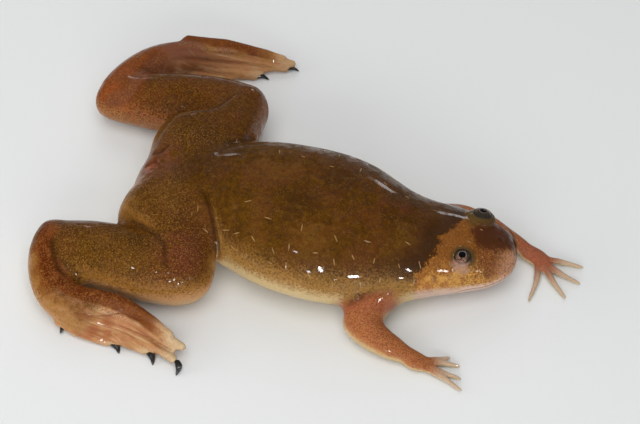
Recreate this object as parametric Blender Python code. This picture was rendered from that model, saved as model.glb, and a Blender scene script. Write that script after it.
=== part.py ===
"""Clawed frog, life size, still model: every body part is its own closed solid.

Sizes are in millimetres and are turned into metres at the end. +X is the way the
body points, +Y is the frog's left, +Z is up, and z = 0 is the floor it lies on.
"""

import bmesh
import bpy
import numpy as np

GAP = 0.3
EYE_RADIUS = 1.08
EYE_SOCKET = EYE_RADIUS + 0.24
EYE_RIGHT = (16.7, -4.1, 5.5)
EYE_LEFT = (17.3, 2.0, 5.45)
EYE_LEAN = 26.0
LID_WIDTH = 1.55
LID_RISE = 1.15
NECK_X = 13.2
MOUTH_START = 0.865
MOUTH_DROP = 12.0
MOUTH_DEPTH = 0.4
MOUTH_HALF = 0.12
LIP_RADIUS = 0.3
LIP_RISE = 0.13
LID_RADIUS = 0.24
LID_SWEEP = 115.0
LID_LEAN = 62.0
NOSTRIL_PLACE = 0.962
NOSTRIL_SPREAD = 21.0
NOSTRIL_RADIUS = 0.17
WEB_HALF = 0.27
WEB_NOTCH = 0.06
CLAW_LENGTHS = (0.7, 1.1, 1.25, 1.2)
CLAW_RADIUS = 0.36

# Stations of the trunk and head: x, y, height of the widest line, half width, rise, drop
BODY = (
    (-20.0, 0.6, 3.3, 3.4, 2.5, 2.7),
    (-17.5, -0.3, 3.6, 4.5, 3.3, 3.6),
    (-12.8, -1.4, 4.0, 5.7, 4.4, 4.25),
    (-6.8, -2.1, 4.3, 8.1, 5.4, 4.65),
    (-1.1, -2.9, 4.4, 9.1, 5.9, 4.8),
    (4.3, -3.2, 4.3, 8.8, 5.8, 4.65),
    (9.7, -2.8, 3.9, 6.9, 5.0, 4.1),
    (13.2, -1.9, 3.4, 5.7, 4.1, 3.3),
    (16.0, -1.2, 3.1, 5.1, 3.5, 2.8),
    (18.6, -0.95, 2.95, 4.2, 2.75, 2.25),
    (22.0, -1.05, 2.9, 3.3, 1.9, 1.8),
)
BODY_CAPS = (2.0, 3.2)

# Stations of the limb parts: x, y, z, half width, half height
THIGH_RIGHT = (
    (-12.5, -1.0, 4.2, 3.8, 3.6),
    (-15.0, -5.5, 4.1, 5.3, 4.2),
    (-14.15, -9.5, 3.85, 5.6, 4.0),
    (-12.2, -12.8, 3.5, 4.3, 3.6),
    (-11.5, -16.2, 3.1, 2.9, 3.0),
)
SHANK_RIGHT = (
    (-10.0, -13.4, 3.2, 2.8, 3.0),
    (-15.0, -12.9, 3.4, 3.7, 3.4),
    (-20.0, -12.5, 3.35, 3.8, 3.4),
    (-24.5, -12.5, 3.0, 3.2, 3.1),
    (-28.2, -12.7, 2.6, 2.3, 2.5),
)
TARSUS_RIGHT = (
    (-25.9, -9.5, 3.0, 2.1, 2.3),
    (-26.1, -13.3, 3.0, 2.3, 2.5),
    (-25.0, -16.4, 2.6, 2.2, 2.3),
    (-22.9, -18.6, 2.3, 2.3, 1.9),
    (-20.0, -19.3, 2.2, 2.3, 1.4),
)
THIGH_LEFT = (
    (-12.5, -2.0, 4.2, 3.6, 3.6),
    (-14.7, 2.6, 4.1, 5.3, 4.15),
    (-13.7, 6.8, 3.9, 5.0, 3.9),
    (-12.6, 10.4, 3.5, 3.5, 3.5),
    (-11.4, 14.4, 3.1, 2.6, 2.9),
)
SHANK_LEFT = (
    (-9.8, 12.2, 3.1, 2.5, 2.8),
    (-14.6, 11.0, 3.3, 3.7, 3.3),
    (-19.6, 10.4, 3.3, 3.5, 3.3),
    (-24.6, 9.6, 3.0, 3.1, 3.0),
    (-28.9, 9.3, 2.6, 2.3, 2.5),
)
TARSUS_LEFT = (
    (-27.0, 6.4, 2.9, 2.1, 2.3),
    (-26.7, 10.4, 3.0, 2.3, 2.5),
    (-25.2, 13.8, 2.9, 2.2, 2.4),
    (-22.8, 17.0, 2.6, 2.2, 2.1),
    (-19.6, 19.0, 2.1, 2.1, 1.5),
)
UPPER_ARM_RIGHT = (
    (9.8, -5.0, 3.2, 2.4, 2.2),
    (9.1, -8.6, 2.8, 2.5, 2.3),
    (8.0, -11.0, 2.3, 2.1, 2.0),
    (6.4, -13.9, 1.8, 1.7, 1.7),
)
FOREARM_RIGHT = (
    (5.4, -11.3, 1.8, 1.6, 1.7),
    (8.4, -12.5, 1.8, 1.75, 1.7),
    (11.3, -13.7, 1.4, 1.45, 1.3),
    (15.4, -14.9, 0.85, 0.95, 0.8),
)
UPPER_ARM_LEFT = (
    (9.6, 0.6, 3.2, 1.9, 1.9),
    (12.2, 2.6, 2.7, 2.0, 2.0),
    (14.4, 4.0, 2.0, 1.8, 1.7),
    (16.9, 4.8, 1.5, 1.5, 1.5),
)
FOREARM_LEFT = (
    (14.2, 4.6, 1.6, 1.4, 1.5),
    (16.8, 4.3, 1.6, 1.5, 1.5),
    (20.3, 3.2, 1.4, 1.15, 1.1),
    (24.4, 1.9, 0.9, 0.9, 0.75),
)
PALM_RIGHT = ((12.8, -14.2, 0.95, 0.95, 0.85), (15.0, -14.85, 0.72, 1.15, 0.75), (17.1, -14.8, 0.5, 0.9, 0.5))
PALM_LEFT = ((21.8, 2.7, 0.95, 0.95, 0.8), (24.0, 2.0, 0.68, 1.05, 0.7), (25.3, 1.3, 0.5, 0.8, 0.5))

# Fingers as three points: root, middle, tip
FINGERS_RIGHT = (
    ((15.6, -14.5, 0.7), (16.9, -13.8, 0.5), (18.0, -13.0, 0.3)),
    ((15.6, -14.7, 0.7), (17.5, -14.1, 0.5), (19.3, -13.9, 0.26)),
    ((15.6, -15.1, 0.7), (17.6, -15.3, 0.5), (19.8, -15.4, 0.26)),
    ((15.4, -15.2, 0.7), (17.6, -15.8, 0.5), (20.2, -16.9, 0.26)),
)
FINGERS_LEFT = (
    ((23.8, 1.8, 0.7), (24.2, -0.6, 0.5), (24.0, -3.6, 0.26)),
    ((24.2, 1.7, 0.7), (26.0, -0.4, 0.5), (27.8, -2.1, 0.26)),
    ((24.4, 1.8, 0.7), (26.5, 0.9, 0.5), (28.9, 0.3, 0.26)),
    ((24.3, 2.2, 0.7), (26.2, 2.5, 0.5), (28.7, 2.6, 0.26)),
)
FINGER_RADII = (0.52, 0.4, 0.28)

# Hind toes as root, middle and tip, from the inner first toe to the outer fifth
TOES_RIGHT = (
    ((-23.0, -19.9, 1.0), (-19.6, -20.9, 0.7), (-16.5, -21.25, 0.42)),
    ((-22.7, -19.5, 1.8), (-17.6, -20.5, 1.2), (-12.5, -21.35, 0.55)),
    ((-22.4, -19.1, 2.5), (-16.0, -19.7, 2.0), (-9.2, -21.8, 0.75)),
    ((-22.0, -18.6, 3.0), (-15.4, -18.9, 2.7), (-8.6, -20.5, 1.5)),
    ((-21.6, -18.1, 3.5), (-15.9, -18.1, 3.4), (-10.2, -19.9, 2.3)),
)
TOES_LEFT = (
    ((-22.6, 16.7, 1.2), (-19.2, 16.8, 0.75), (-16.8, 17.3, 0.4)),
    ((-22.5, 17.7, 1.9), (-17.3, 18.4, 1.1), (-12.9, 19.3, 0.45)),
    ((-22.3, 18.6, 2.6), (-16.1, 19.8, 1.7), (-9.9, 21.3, 0.55)),
    ((-22.1, 19.3, 3.0), (-15.8, 20.9, 2.2), (-9.2, 22.3, 1.0)),
    ((-21.8, 19.8, 3.0), (-16.3, 21.4, 2.4), (-10.2, 22.5, 1.6)),
)
TOE_RADII = (0.9, 0.68, 0.4)
SPUR_RIGHT = ((-22.0, -19.3, 1.1), (-22.6, -20.2, 0.7))
SPUR_LEFT = ((-21.0, 17.4, 0.9), (-20.4, 16.6, 0.7))

# Thick instep of each foot, carrying on from the tarsus into the webs
INSTEP_RIGHT = (
    (-22.9, -18.6, 2.3, 2.3, 1.9),
    (-20.0, -19.3, 2.2, 2.3, 1.4),
    (-16.8, -19.7, 1.9, 1.5, 0.85),
    (-13.2, -20.3, 1.55, 0.7, 0.35),
)
INSTEP_LEFT = (
    (-22.8, 17.0, 2.6, 2.2, 2.1),
    (-19.6, 19.0, 2.1, 2.1, 1.5),
    (-16.6, 19.8, 1.7, 1.5, 0.9),
    (-13.0, 20.6, 1.2, 0.7, 0.35),
)
FOOT_ROLL_RIGHT = 38.0
FOOT_ROLL_LEFT = 28.0

# Ways the claws point: prehallux, first, second and third toe
CLAW_WAYS_RIGHT = ((0.45, -0.8, -0.3), (0.78, -0.6, -0.2), (0.6, -0.75, -0.3), (0.25, -0.9, -0.4))
CLAW_WAYS_LEFT = ((0.6, -0.75, -0.2), (0.9, -0.3, -0.2), (0.95, 0.15, -0.15), (0.92, 0.3, -0.2))

# Joint planes: a point and the way from the outer part to the inner part
KNEE_RIGHT = ((-12.9, -13.6, 0.0), (0.92, 0.4, 0.0))
KNEE_LEFT = ((-13.4, 9.3, 0.0), (0.92, -0.4, 0.0))
CREASE_RIGHT = ((-16.6, -9.2, 0.0), (0.3, 0.95, 0.0))
CREASE_LEFT = ((-16.5, 6.9, 0.0), (0.2, -0.98, 0.0))
ANKLE_RIGHT = ((-25.3, -13.9, 0.0), (0.68, 0.73, 0.0))
ANKLE_LEFT = ((-26.0, 11.2, 0.0), (0.6, -0.8, 0.0))
MIDFOOT_RIGHT = ((-21.9, -19.2, 0.0), (-0.93, 0.36, 0.0))
MIDFOOT_LEFT = ((-22.0, 17.6, 0.0), (-0.8, -0.6, 0.0))
ELBOW_RIGHT = ((7.2, -12.2, 0.0), (-0.37, 0.93, 0.0))
ELBOW_LEFT = ((15.7, 4.5, 0.0), (-0.99, -0.11, 0.0))
WRIST_RIGHT = ((14.0, -14.6, 0.0), (-0.95, 0.3, 0.0))
WRIST_LEFT = ((22.9, 2.4, 0.0), (-0.93, 0.36, 0.0))

# Finishes: colour, roughness
SKIN_BACK = ((0.20, 0.105, 0.03), 0.3)
SKIN_LEG = ((0.26, 0.13, 0.04), 0.3)
SKIN_FOOT = ((0.50, 0.27, 0.15), 0.35)
SKIN_ARM = ((0.55, 0.25, 0.12), 0.35)
EYE_DARK = ((0.05, 0.035, 0.03), 0.06)
CLAW_BLACK = ((0.012, 0.01, 0.01), 0.25)

PARTS = bpy.context.scene.collection


def finished(thing, finish):
    """Scales a part to metres, shades it smooth and gives it its own material."""
    coords = np.empty(len(thing.data.vertices) * 3)
    thing.data.vertices.foreach_get("co", coords)
    thing.data.vertices.foreach_set("co", coords * 0.001)
    thing.data.polygons.foreach_set("use_smooth", [True] * len(thing.data.polygons))
    thing.data.update()
    material = bpy.data.materials.new(thing.name)
    material.use_nodes = True
    surface = material.node_tree.nodes["Principled BSDF"]
    surface.inputs["Base Color"].default_value = (*finish[0], 1.0)
    surface.inputs["Roughness"].default_value = finish[1]
    surface.inputs["Metallic"].default_value = 0.0
    thing.data.materials.clear()
    thing.data.materials.append(material)


def carried(rows, where):
    """Values at the fractions in where, on a smooth curve through all the stations."""
    rows = np.array(rows, float)
    steps = np.linalg.norm(np.diff(rows[:, :3], axis=0), axis=1)
    along = np.r_[0.0, np.cumsum(steps)]
    slope = np.gradient(rows, along, axis=0)
    at = np.clip(where, 0.0, 1.0) * along[-1]
    k = np.clip(np.searchsorted(along, at, "right") - 1, 0, len(rows) - 2)
    span = (along[k + 1] - along[k])[:, None]
    f = ((at - along[k]) / span[:, 0])[:, None]
    start = (1 + 2 * f) * (1 - f) ** 2 * rows[k] + f * (1 - f) ** 2 * span * slope[k]
    finish = f * f * (3 - 2 * f) * rows[k + 1] + f * f * (f - 1) * span * slope[k + 1]
    return start + finish, along[-1]


def capped(where, length, caps):
    """Share of the full section at each fraction: an elliptic cap at each end."""
    share = np.ones_like(where)
    for cap, away in ((caps[0], where * length), (caps[1], (1.0 - where) * length)):
        if cap > 0.0:
            near = np.clip(away / cap, 0.0, 1.0)
            share = share * np.sqrt(np.clip(1.0 - (1.0 - near) ** 2, 0.0, 1.0))
    return share


def solid(name, points, faces):
    """Closed mesh object with its normals outward."""
    mesh = bpy.data.meshes.new(name)
    mesh.from_pydata([tuple(p) for p in points], [], faces)
    work = bmesh.new()
    work.from_mesh(mesh)
    bmesh.ops.remove_doubles(work, verts=work.verts, dist=0.0005)
    bmesh.ops.dissolve_degenerate(work, edges=work.edges, dist=0.0005)
    bmesh.ops.recalc_face_normals(work, faces=work.faces)
    bmesh.ops.triangulate(work, faces=work.faces)
    work.to_mesh(mesh)
    work.free()
    thing = bpy.data.objects.new(name, mesh)
    PARTS.objects.link(thing)
    return thing


def skinned(name, rings):
    """Solid from a stack of closed rings, a point closing each end."""
    count, around = rings.shape[:2]
    points = np.vstack([rings.reshape(-1, 3), rings[0].mean(0), rings[-1].mean(0)])
    first, last = count * around, count * around + 1
    faces = []
    for i in range(count - 1):
        for j in range(around):
            k = (j + 1) % around
            faces.append((i * around + j, i * around + k, (i + 1) * around + k, (i + 1) * around + j))
    top = (count - 1) * around
    for j in range(around):
        k = (j + 1) % around
        faces.append((first, k, j))
        faces.append((last, top + j, top + k))
    return solid(name, points, faces)


def headed(rows, where):
    """Directions ahead, sideways and up at each fraction of a path."""
    ahead = carried(rows, where + 0.004)[0][:, :3] - carried(rows, where - 0.004)[0][:, :3]
    ahead /= np.linalg.norm(ahead, axis=1)[:, None]
    side = np.cross((0.0, 0.0, 1.0), ahead)
    side /= np.linalg.norm(side, axis=1)[:, None]
    return ahead, side, np.cross(ahead, side)


def spaced(first, last, count):
    """Fractions of a path, closer together toward its two ends."""
    even = np.linspace(0.0, 1.0, count)
    return first + (last - first) * (0.45 * even + 0.55 * (0.5 - 0.5 * np.cos(np.pi * even)))


def trunk_points(where, turn, grow=0.0):
    """Trunk surface at fractions along it and angles round it: flat belly, rounded back, blunt snout."""
    values, length = carried(BODY, where)
    share = capped(where, length, BODY_CAPS)[:, None]
    side = headed(BODY, where)[1]
    wide = np.sign(np.cos(turn)) * np.abs(np.cos(turn)) ** 0.92
    tall = np.sign(np.sin(turn)) * np.abs(np.sin(turn)) ** 0.92
    half = values[:, 3:4] * share + grow
    high = np.where(tall > 0, values[:, 4:5] * share, values[:, 5:6] * share) + grow
    points = values[:, None, :3] + side[:, None, :] * (half * wide)[:, :, None]
    points[:, :, 2] = np.maximum(points[:, :, 2] + high * tall, -grow)
    return points


def trunk(name, first=0.004, last=0.996, rings=36, around=36, grow=0.0):
    """Solid of one stretch of the trunk, larger all round by grow."""
    turn = np.linspace(0.0, 2 * np.pi, around, endpoint=False) + np.pi / around
    points = trunk_points(spaced(first, last, rings), turn, grow)
    points[0, :, 0] -= grow
    points[-1, :, 0] += grow
    return skinned(name, points)


def limb(name, rows, rings=12, around=16, caps=(1.5, 1.5), roll=(0.0, 0.0)):
    """Rounded tube through the stations, rolled about its path, flat where it would pass the floor."""
    where = spaced(0.004, 0.996, rings)
    values, length = carried(rows, where)
    share = capped(where, length, caps)
    side, up = headed(rows, where)[1:]
    lean = np.radians(np.linspace(roll[0], roll[1], rings))[:, None]
    side, up = side * np.cos(lean) + up * np.sin(lean), up * np.cos(lean) - side * np.sin(lean)
    turn = np.linspace(0.0, 2 * np.pi, around, endpoint=False) + np.pi / around
    half = (values[:, 3] * share)[:, None] * np.cos(turn)
    tall = (values[:, 4] * share)[:, None] * np.sin(turn)
    points = values[:, None, :3] + side[:, None, :] * half[:, :, None] + up[:, None, :] * tall[:, :, None]
    points[:, :, 2] = np.maximum(points[:, :, 2], 0.0)
    return skinned(name, points)


def digit(name, path, radii, around=10, rings=7, tip=0.3):
    """Finger or toe: a thin tube that narrows to its tip."""
    rows = [tuple(p) + (r, r) for p, r in zip(path, radii)]
    return limb(name, rows, rings, around, (0.2, tip))


def ball(name, centre, radii, way=(0.0, 0.0, 1.0), across=20, high=12):
    """Ellipsoid whose last radius lies along way."""
    pole = np.array(way, float) / np.linalg.norm(way)
    one = np.cross(pole, (1.0, 0.0, 0.0) if abs(pole[0]) < 0.9 else (0.0, 1.0, 0.0))
    one /= np.linalg.norm(one)
    two = np.cross(pole, one)
    turn = np.linspace(0.0, 2 * np.pi, across, endpoint=False)
    climb = np.linspace(0.02, np.pi - 0.02, high)
    ring = np.cos(turn)[:, None] * one * radii[0] + np.sin(turn)[:, None] * two * radii[1]
    points = np.sin(climb)[:, None, None] * ring + np.cos(climb)[:, None, None] * pole * radii[2]
    return skinned(name, points + np.array(centre))


def combined(base, tool, operation):
    """The base after a Boolean with another object or collection, baked into its mesh."""
    step = base.modifiers.new("combine", "BOOLEAN")
    step.operation = operation
    step.solver = "EXACT"
    if isinstance(tool, bpy.types.Collection):
        step.operand_type = "COLLECTION"
        step.collection = tool
    else:
        step.object = tool
    view = bpy.context.evaluated_depsgraph_get()
    baked = bpy.data.meshes.new_from_object(base.evaluated_get(view))
    base.modifiers.remove(step)
    base.data = baked
    return base


def dropped(*things):
    """Removes objects that are no longer needed."""
    for thing in things:
        bpy.data.objects.remove(thing, do_unlink=True)


def united(base, others):
    """One union of the base with all the other closed solids."""
    group = bpy.data.collections.new("union")
    PARTS.children.link(group)
    for thing in others:
        PARTS.objects.unlink(thing)
        group.objects.link(thing)
    combined(base, group, "UNION")
    dropped(*others)
    bpy.data.collections.remove(group)
    return base


def less(base, tools):
    """The base with each tool cut away."""
    for tool in tools:
        combined(base, tool, "DIFFERENCE")
    dropped(*tools)
    return base


def trimmed(thing, plane, sign, gap=GAP / 2):
    """Keeps the inner (+1) or outer (-1) side of a joint plane, half a gap away from it."""
    way = np.array(plane[1], float) / np.linalg.norm(plane[1])
    point = np.array(plane[0], float) + way * sign * gap
    work = bmesh.new()
    work.from_mesh(thing.data)
    everything = work.verts[:] + work.edges[:] + work.faces[:]
    cut = bmesh.ops.bisect_plane(
        work, geom=everything, dist=1e-5, plane_co=tuple(point), plane_no=tuple(-way * sign), clear_outer=True
    )
    edges = [e for e in cut["geom_cut"] if isinstance(e, bmesh.types.BMEdge)]
    bmesh.ops.holes_fill(work, edges=edges, sides=0)
    bmesh.ops.triangulate(work, faces=work.faces)
    work.to_mesh(thing.data)
    work.free()
    return thing


def folded(thing, knee, crease):
    """The thigh less the wedge behind the knee where the folded shank lies."""
    wedge = limb("wedge", ((-40.0, 0.0, 5.0, 40.0, 20.0), (0.0, 0.0, 5.0, 40.0, 20.0)), 2, 4, (0.0, 0.0))
    for plane in (knee, crease):
        trimmed(wedge, plane, -1, -GAP / 2)
    return less(thing, [wedge])


def largest(thing):
    """Keeps only the closed surface with the most volume."""
    work = bmesh.new()
    work.from_mesh(thing.data)
    left, islands = set(work.verts), []
    while left:
        reach, island = [left.pop()], []
        while reach:
            vert = reach.pop()
            island.append(vert)
            for edge in vert.link_edges:
                other = edge.other_vert(vert)
                if other in left:
                    left.remove(other)
                    reach.append(other)
        islands.append(island)
    if len(islands) > 1:
        sizes = [abs(sum(f.normal.dot(f.calc_center_median()) * f.calc_area()
                         for f in {f for v in island for f in v.link_faces})) for island in islands]
        keep = sizes.index(max(sizes))
        spare = [v for n, island in enumerate(islands) if n != keep for v in island]
        bmesh.ops.delete(work, geom=spare, context="VERTS")
    bmesh.ops.remove_doubles(work, verts=work.verts, dist=0.0008)
    bmesh.ops.dissolve_degenerate(work, edges=work.edges, dist=0.0008)
    bmesh.ops.triangulate(work, faces=work.faces)
    work.to_mesh(thing.data)
    work.free()
    return thing


def eye_way(side):
    """Direction that an eye looks in: up, outward and a little forward."""
    lean = np.radians(EYE_LEAN)
    return np.array((0.16, side * np.sin(lean), np.cos(lean)))


def mouth_line(count):
    """Jaw edge from the right corner of the mouth round the snout to the left, and its outward way."""
    where = MOUTH_START + (0.996 - MOUTH_START) * np.sin(np.linspace(0.0, np.pi / 2, count))
    drop = np.radians(MOUTH_DROP)
    right, left = (trunk_points(where, np.array([turn]))[:, 0] for turn in (np.pi + drop, -drop))
    line = np.vstack([right, left[::-1]])
    flow = np.gradient(line, axis=0)
    out = np.stack([flow[:, 1], -flow[:, 0], 0 * flow[:, 0]], 1)
    return line, out / np.linalg.norm(out, axis=1)[:, None]


def make_lid(centre, side):
    """Lower lid: a crescent round the outer half of the eye."""
    way = eye_way(side) / np.linalg.norm(eye_way(side))
    outer = np.array((0.0, side, 0.0)) - way * way[1] * side
    outer /= np.linalg.norm(outer)
    across = np.cross(way, outer)
    rows = []
    for turn in np.radians(np.linspace(-LID_SWEEP, LID_SWEEP, 9)):
        lean = np.radians(LID_LEAN - 8.0 * np.cos(turn))
        ring = np.cos(turn) * outer + np.sin(turn) * across
        radius = LID_RADIUS * (0.55 + 0.45 * np.cos(turn / 1.3))
        spot = np.array(centre) + (EYE_SOCKET + 0.1) * (np.sin(lean) * ring + np.cos(lean) * way)
        rows.append(tuple(spot) + (radius, radius))
    return limb("lid", rows, 14, 8, (0.3, 0.3))


def make_head():
    """Flat blunt head with lids, sockets, nostrils, lips and the line of the mouth."""
    head = trimmed(trunk("head", 0.72, 0.996, 26, 40), ((NECK_X, 0.0, 0.0), (1.0, 0.0, 0.0)), 1)
    line, out = mouth_line(15)
    size = np.full((len(line), 2), LIP_RADIUS)
    lift = np.array((0.0, 0.0, LIP_RADIUS))
    lips = [np.column_stack([line - out * (LIP_RADIUS - LIP_RISE) + lift * way, size]) for way in (1.0, -1.0)]
    extras = [limb("lip", rows, 30, 8, (1.2, 1.2)) for rows in lips]
    for centre, side in ((EYE_RIGHT, -1), (EYE_LEFT, 1)):
        extras.append(ball("mound", centre, (LID_WIDTH, LID_WIDTH, LID_RISE), eye_way(side), 24, 12))
        extras.append(make_lid(centre, side))
    united(head, extras)
    cuts = [ball("socket", EYE_RIGHT, (EYE_SOCKET,) * 3, eye_way(-1)),
            ball("socket", EYE_LEFT, (EYE_SOCKET,) * 3, eye_way(1))]
    inner, outer = line - out * MOUTH_DEPTH, line + out * 0.7
    thick = np.array((0.0, 0.0, MOUTH_HALF))
    cuts.append(skinned("mouth", np.stack([inner - thick * 0.4, outer - thick, outer + thick, inner + thick * 0.4], 1)))
    for spread in (-NOSTRIL_SPREAD, NOSTRIL_SPREAD):
        rim = trunk_points(np.array([NOSTRIL_PLACE]), np.radians(np.array([90.0 + spread])))[0, 0]
        way = np.array((0.35, -0.012 * spread, 0.8))
        path = [rim + way * 0.35, rim - way * 0.1, rim - way * 0.6]
        cuts.append(digit("nostril", path, (NOSTRIL_RADIUS * 1.3, NOSTRIL_RADIUS, NOSTRIL_RADIUS * 0.6)))
    return largest(less(head, cuts))


def make_foot(name, toes):
    """Webbed foot: a fan of membrane with the toes raised in it as ridges."""
    rows, per = 14, 4
    across = np.linspace(0.0, 4.0, 4 * per + 1)
    along = np.linspace(0.0, 1.0, rows)
    reach = along[:, None] * (1.0 - WEB_NOTCH * np.sin(np.pi * across) ** 2)
    lines = np.stack([carried(toe, reach.ravel())[0].reshape(rows, len(across), 3) for toe in toes])
    k = np.clip(across.astype(int), 0, 3)
    f = (across - k)[:, None]
    column = np.arange(len(across))
    sheet = lines[k, :, column] * (1 - f)[:, None] + lines[k + 1, :, column] * f[:, None]
    sheet = sheet.transpose(1, 0, 2)
    normal = np.cross(np.gradient(sheet, axis=0), np.gradient(sheet, axis=1))
    normal /= np.linalg.norm(normal, axis=2)[:, :, None]
    radius = np.interp(along, (0.0, 0.5, 1.0), TOE_RADII)[:, None]
    ridge = np.cos(np.pi * np.abs(across - np.round(across))) ** 2
    half = (WEB_HALF + (radius - WEB_HALF) * ridge)[:, :, None]
    both = np.stack([sheet + normal * half, sheet - normal * half])
    both[..., 2] = np.maximum(both[..., 2], 0.0)
    wide = len(across)
    size = rows * wide
    faces = []
    for i in range(rows - 1):
        for j in range(wide - 1):
            a, b, c, d = i * wide + j, i * wide + j + 1, (i + 1) * wide + j + 1, (i + 1) * wide + j
            faces += [(a, b, c, d), (size + d, size + c, size + b, size + a)]
        for j in (0, wide - 1):
            a, d = i * wide + j, (i + 1) * wide + j
            faces.append((a, d, size + d, size + a))
    for j in range(wide - 1):
        for i in (0, rows - 1):
            a = i * wide + j
            faces.append((a, a + 1, size + a + 1, size + a))
    return solid(name, both.reshape(-1, 3), faces)


def claw(name, base, way, length):
    """Black curved claw with a flat root, bent toward the floor."""
    way = np.array(way, float) / np.linalg.norm(way)
    base = np.array(base, float) + way * GAP
    bend = np.array((0.0, 0.0, -0.12))
    rows = []
    for f in (0.0, 0.35, 0.7, 1.0):
        radius = CLAW_RADIUS * (1.0 - f) ** 0.7 + 0.06 * f
        rows.append(tuple(base + way * length * f + bend * f * f) + (radius, radius))
    return limb(name, rows, 7, 8, (0.0, 0.12))


def main():
    for thing in list(bpy.data.objects):
        bpy.data.objects.remove(thing, do_unlink=True)
    back = ((NECK_X, 0.0, 0.0), (1.0, 0.0, 0.0))
    torso = largest(trimmed(trunk("torso", 0.004, 0.86, 36), back, -1))
    head = make_head()
    eyes = [ball("eye_right", EYE_RIGHT, (EYE_RADIUS,) * 3, eye_way(-1)),
            ball("eye_left", EYE_LEFT, (EYE_RADIUS,) * 3, eye_way(1))]
    made = [(torso, SKIN_BACK), (head, SKIN_BACK)] + [(eye, EYE_DARK) for eye in eyes]
    sides = (
        ("right", THIGH_RIGHT, SHANK_RIGHT, TARSUS_RIGHT, INSTEP_RIGHT, FOOT_ROLL_RIGHT, TOES_RIGHT,
         (KNEE_RIGHT, CREASE_RIGHT), ANKLE_RIGHT, MIDFOOT_RIGHT, SPUR_RIGHT, CLAW_WAYS_RIGHT),
        ("left", THIGH_LEFT, SHANK_LEFT, TARSUS_LEFT, INSTEP_LEFT, FOOT_ROLL_LEFT, TOES_LEFT,
         (KNEE_LEFT, CREASE_LEFT), ANKLE_LEFT, MIDFOOT_LEFT, SPUR_LEFT, CLAW_WAYS_LEFT),
    )
    for side, thigh_rows, shank_rows, tarsus_rows, instep, roll, toes, fold, ankle, midfoot, spur, ways in sides:
        thigh = folded(limb("thigh_" + side, thigh_rows, 16, 20, (1.0, 2.4)), *fold)
        less(thigh, [trunk("room", grow=GAP)])
        shank = limb("shank_" + side, shank_rows, 14, 20, (2.4, 2.4))
        trimmed(trimmed(trimmed(shank, fold[0], -1), fold[1], -1), ankle, 1)
        tarsus = limb("tarsus_" + side, tarsus_rows, 13, 16, (1.5, 0.5), (0.0, roll))
        trimmed(trimmed(tarsus, ankle, -1), midfoot, 1)
        foot = united(make_foot("foot_" + side, toes), [
            digit("spur", spur, (0.6, 0.38), rings=5, tip=0.0),
            limb("instep", instep, 10, 16, (0.5, 0.8), (roll, roll)),
        ])
        trimmed(foot, midfoot, -1)
        bases = [spur[1]] + [toe[2] for toe in toes[:3]]
        claws = [claw(f"claw_{side}_{n}", bases[n], ways[n], CLAW_LENGTHS[n]) for n in range(4)]
        made += [(largest(t), SKIN_LEG) for t in (thigh, shank, tarsus)] + [(largest(foot), SKIN_FOOT)]
        made += [(c, CLAW_BLACK) for c in claws]
    arms = (
        ("right", UPPER_ARM_RIGHT, FOREARM_RIGHT, PALM_RIGHT, FINGERS_RIGHT, ELBOW_RIGHT, WRIST_RIGHT),
        ("left", UPPER_ARM_LEFT, FOREARM_LEFT, PALM_LEFT, FINGERS_LEFT, ELBOW_LEFT, WRIST_LEFT),
    )
    for side, upper_rows, lower_rows, palm_rows, fingers, elbow, wrist in arms:
        upper = trimmed(limb("upper_arm_" + side, upper_rows, 10, 14, (0.8, 1.2)), elbow, 1)
        less(upper, [trunk("room", grow=GAP)])
        lower = trimmed(limb("forearm_" + side, lower_rows, 10, 14, (1.2, 0.8)), elbow, -1)
        less(trimmed(lower, wrist, 1), [trunk("room", grow=GAP)])
        hand = trimmed(limb("hand_" + side, palm_rows, 8, 12, (0.5, 0.6)), wrist, -1)
        united(hand, [digit("finger", path, FINGER_RADII) for path in fingers])
        made += [(largest(t), SKIN_ARM) for t in (upper, lower, hand)]
    for thing, finish in made:
        finished(thing, finish)


main()
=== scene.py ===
"""Skin, eyes and claws of a life-size clawed frog that lies flat, and the studio that shows it.

The file is laid out as an add-on: settings, one operator for each group of pieces, and a panel
that lists them. Shapes are worked out in millimetres (+X the way the frog points, +Y its left,
+Z up from the floor) and become metres when a mesh is made.
"""

import bmesh
import bpy
import numpy as np
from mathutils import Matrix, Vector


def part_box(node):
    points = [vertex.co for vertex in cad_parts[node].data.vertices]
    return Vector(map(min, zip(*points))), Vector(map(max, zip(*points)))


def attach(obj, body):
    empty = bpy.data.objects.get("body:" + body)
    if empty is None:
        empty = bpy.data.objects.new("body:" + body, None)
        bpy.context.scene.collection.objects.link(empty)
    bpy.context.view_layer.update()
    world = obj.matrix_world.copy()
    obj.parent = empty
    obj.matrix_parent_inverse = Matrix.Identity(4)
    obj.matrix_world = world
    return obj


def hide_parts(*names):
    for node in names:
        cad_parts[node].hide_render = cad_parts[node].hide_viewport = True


bl_info = {
    "name": "Clawed Frog",
    "version": (1, 0, 0),
    "blender": (4, 5, 0),
    "location": "View3D > Sidebar > Frog",
    "description": "Builds the wet skin, eyes, claws and studio of a clawed frog",
    "category": "Object",
}

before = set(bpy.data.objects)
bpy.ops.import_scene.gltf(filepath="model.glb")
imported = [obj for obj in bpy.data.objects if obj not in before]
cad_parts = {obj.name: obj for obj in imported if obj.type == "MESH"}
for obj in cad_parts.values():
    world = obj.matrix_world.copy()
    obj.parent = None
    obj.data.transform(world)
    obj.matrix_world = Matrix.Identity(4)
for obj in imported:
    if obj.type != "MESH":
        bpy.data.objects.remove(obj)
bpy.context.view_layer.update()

MM = 0.001
SIDES = ("right", "left")
NO_TRIANGLES = np.zeros((0, 3), int)

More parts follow.
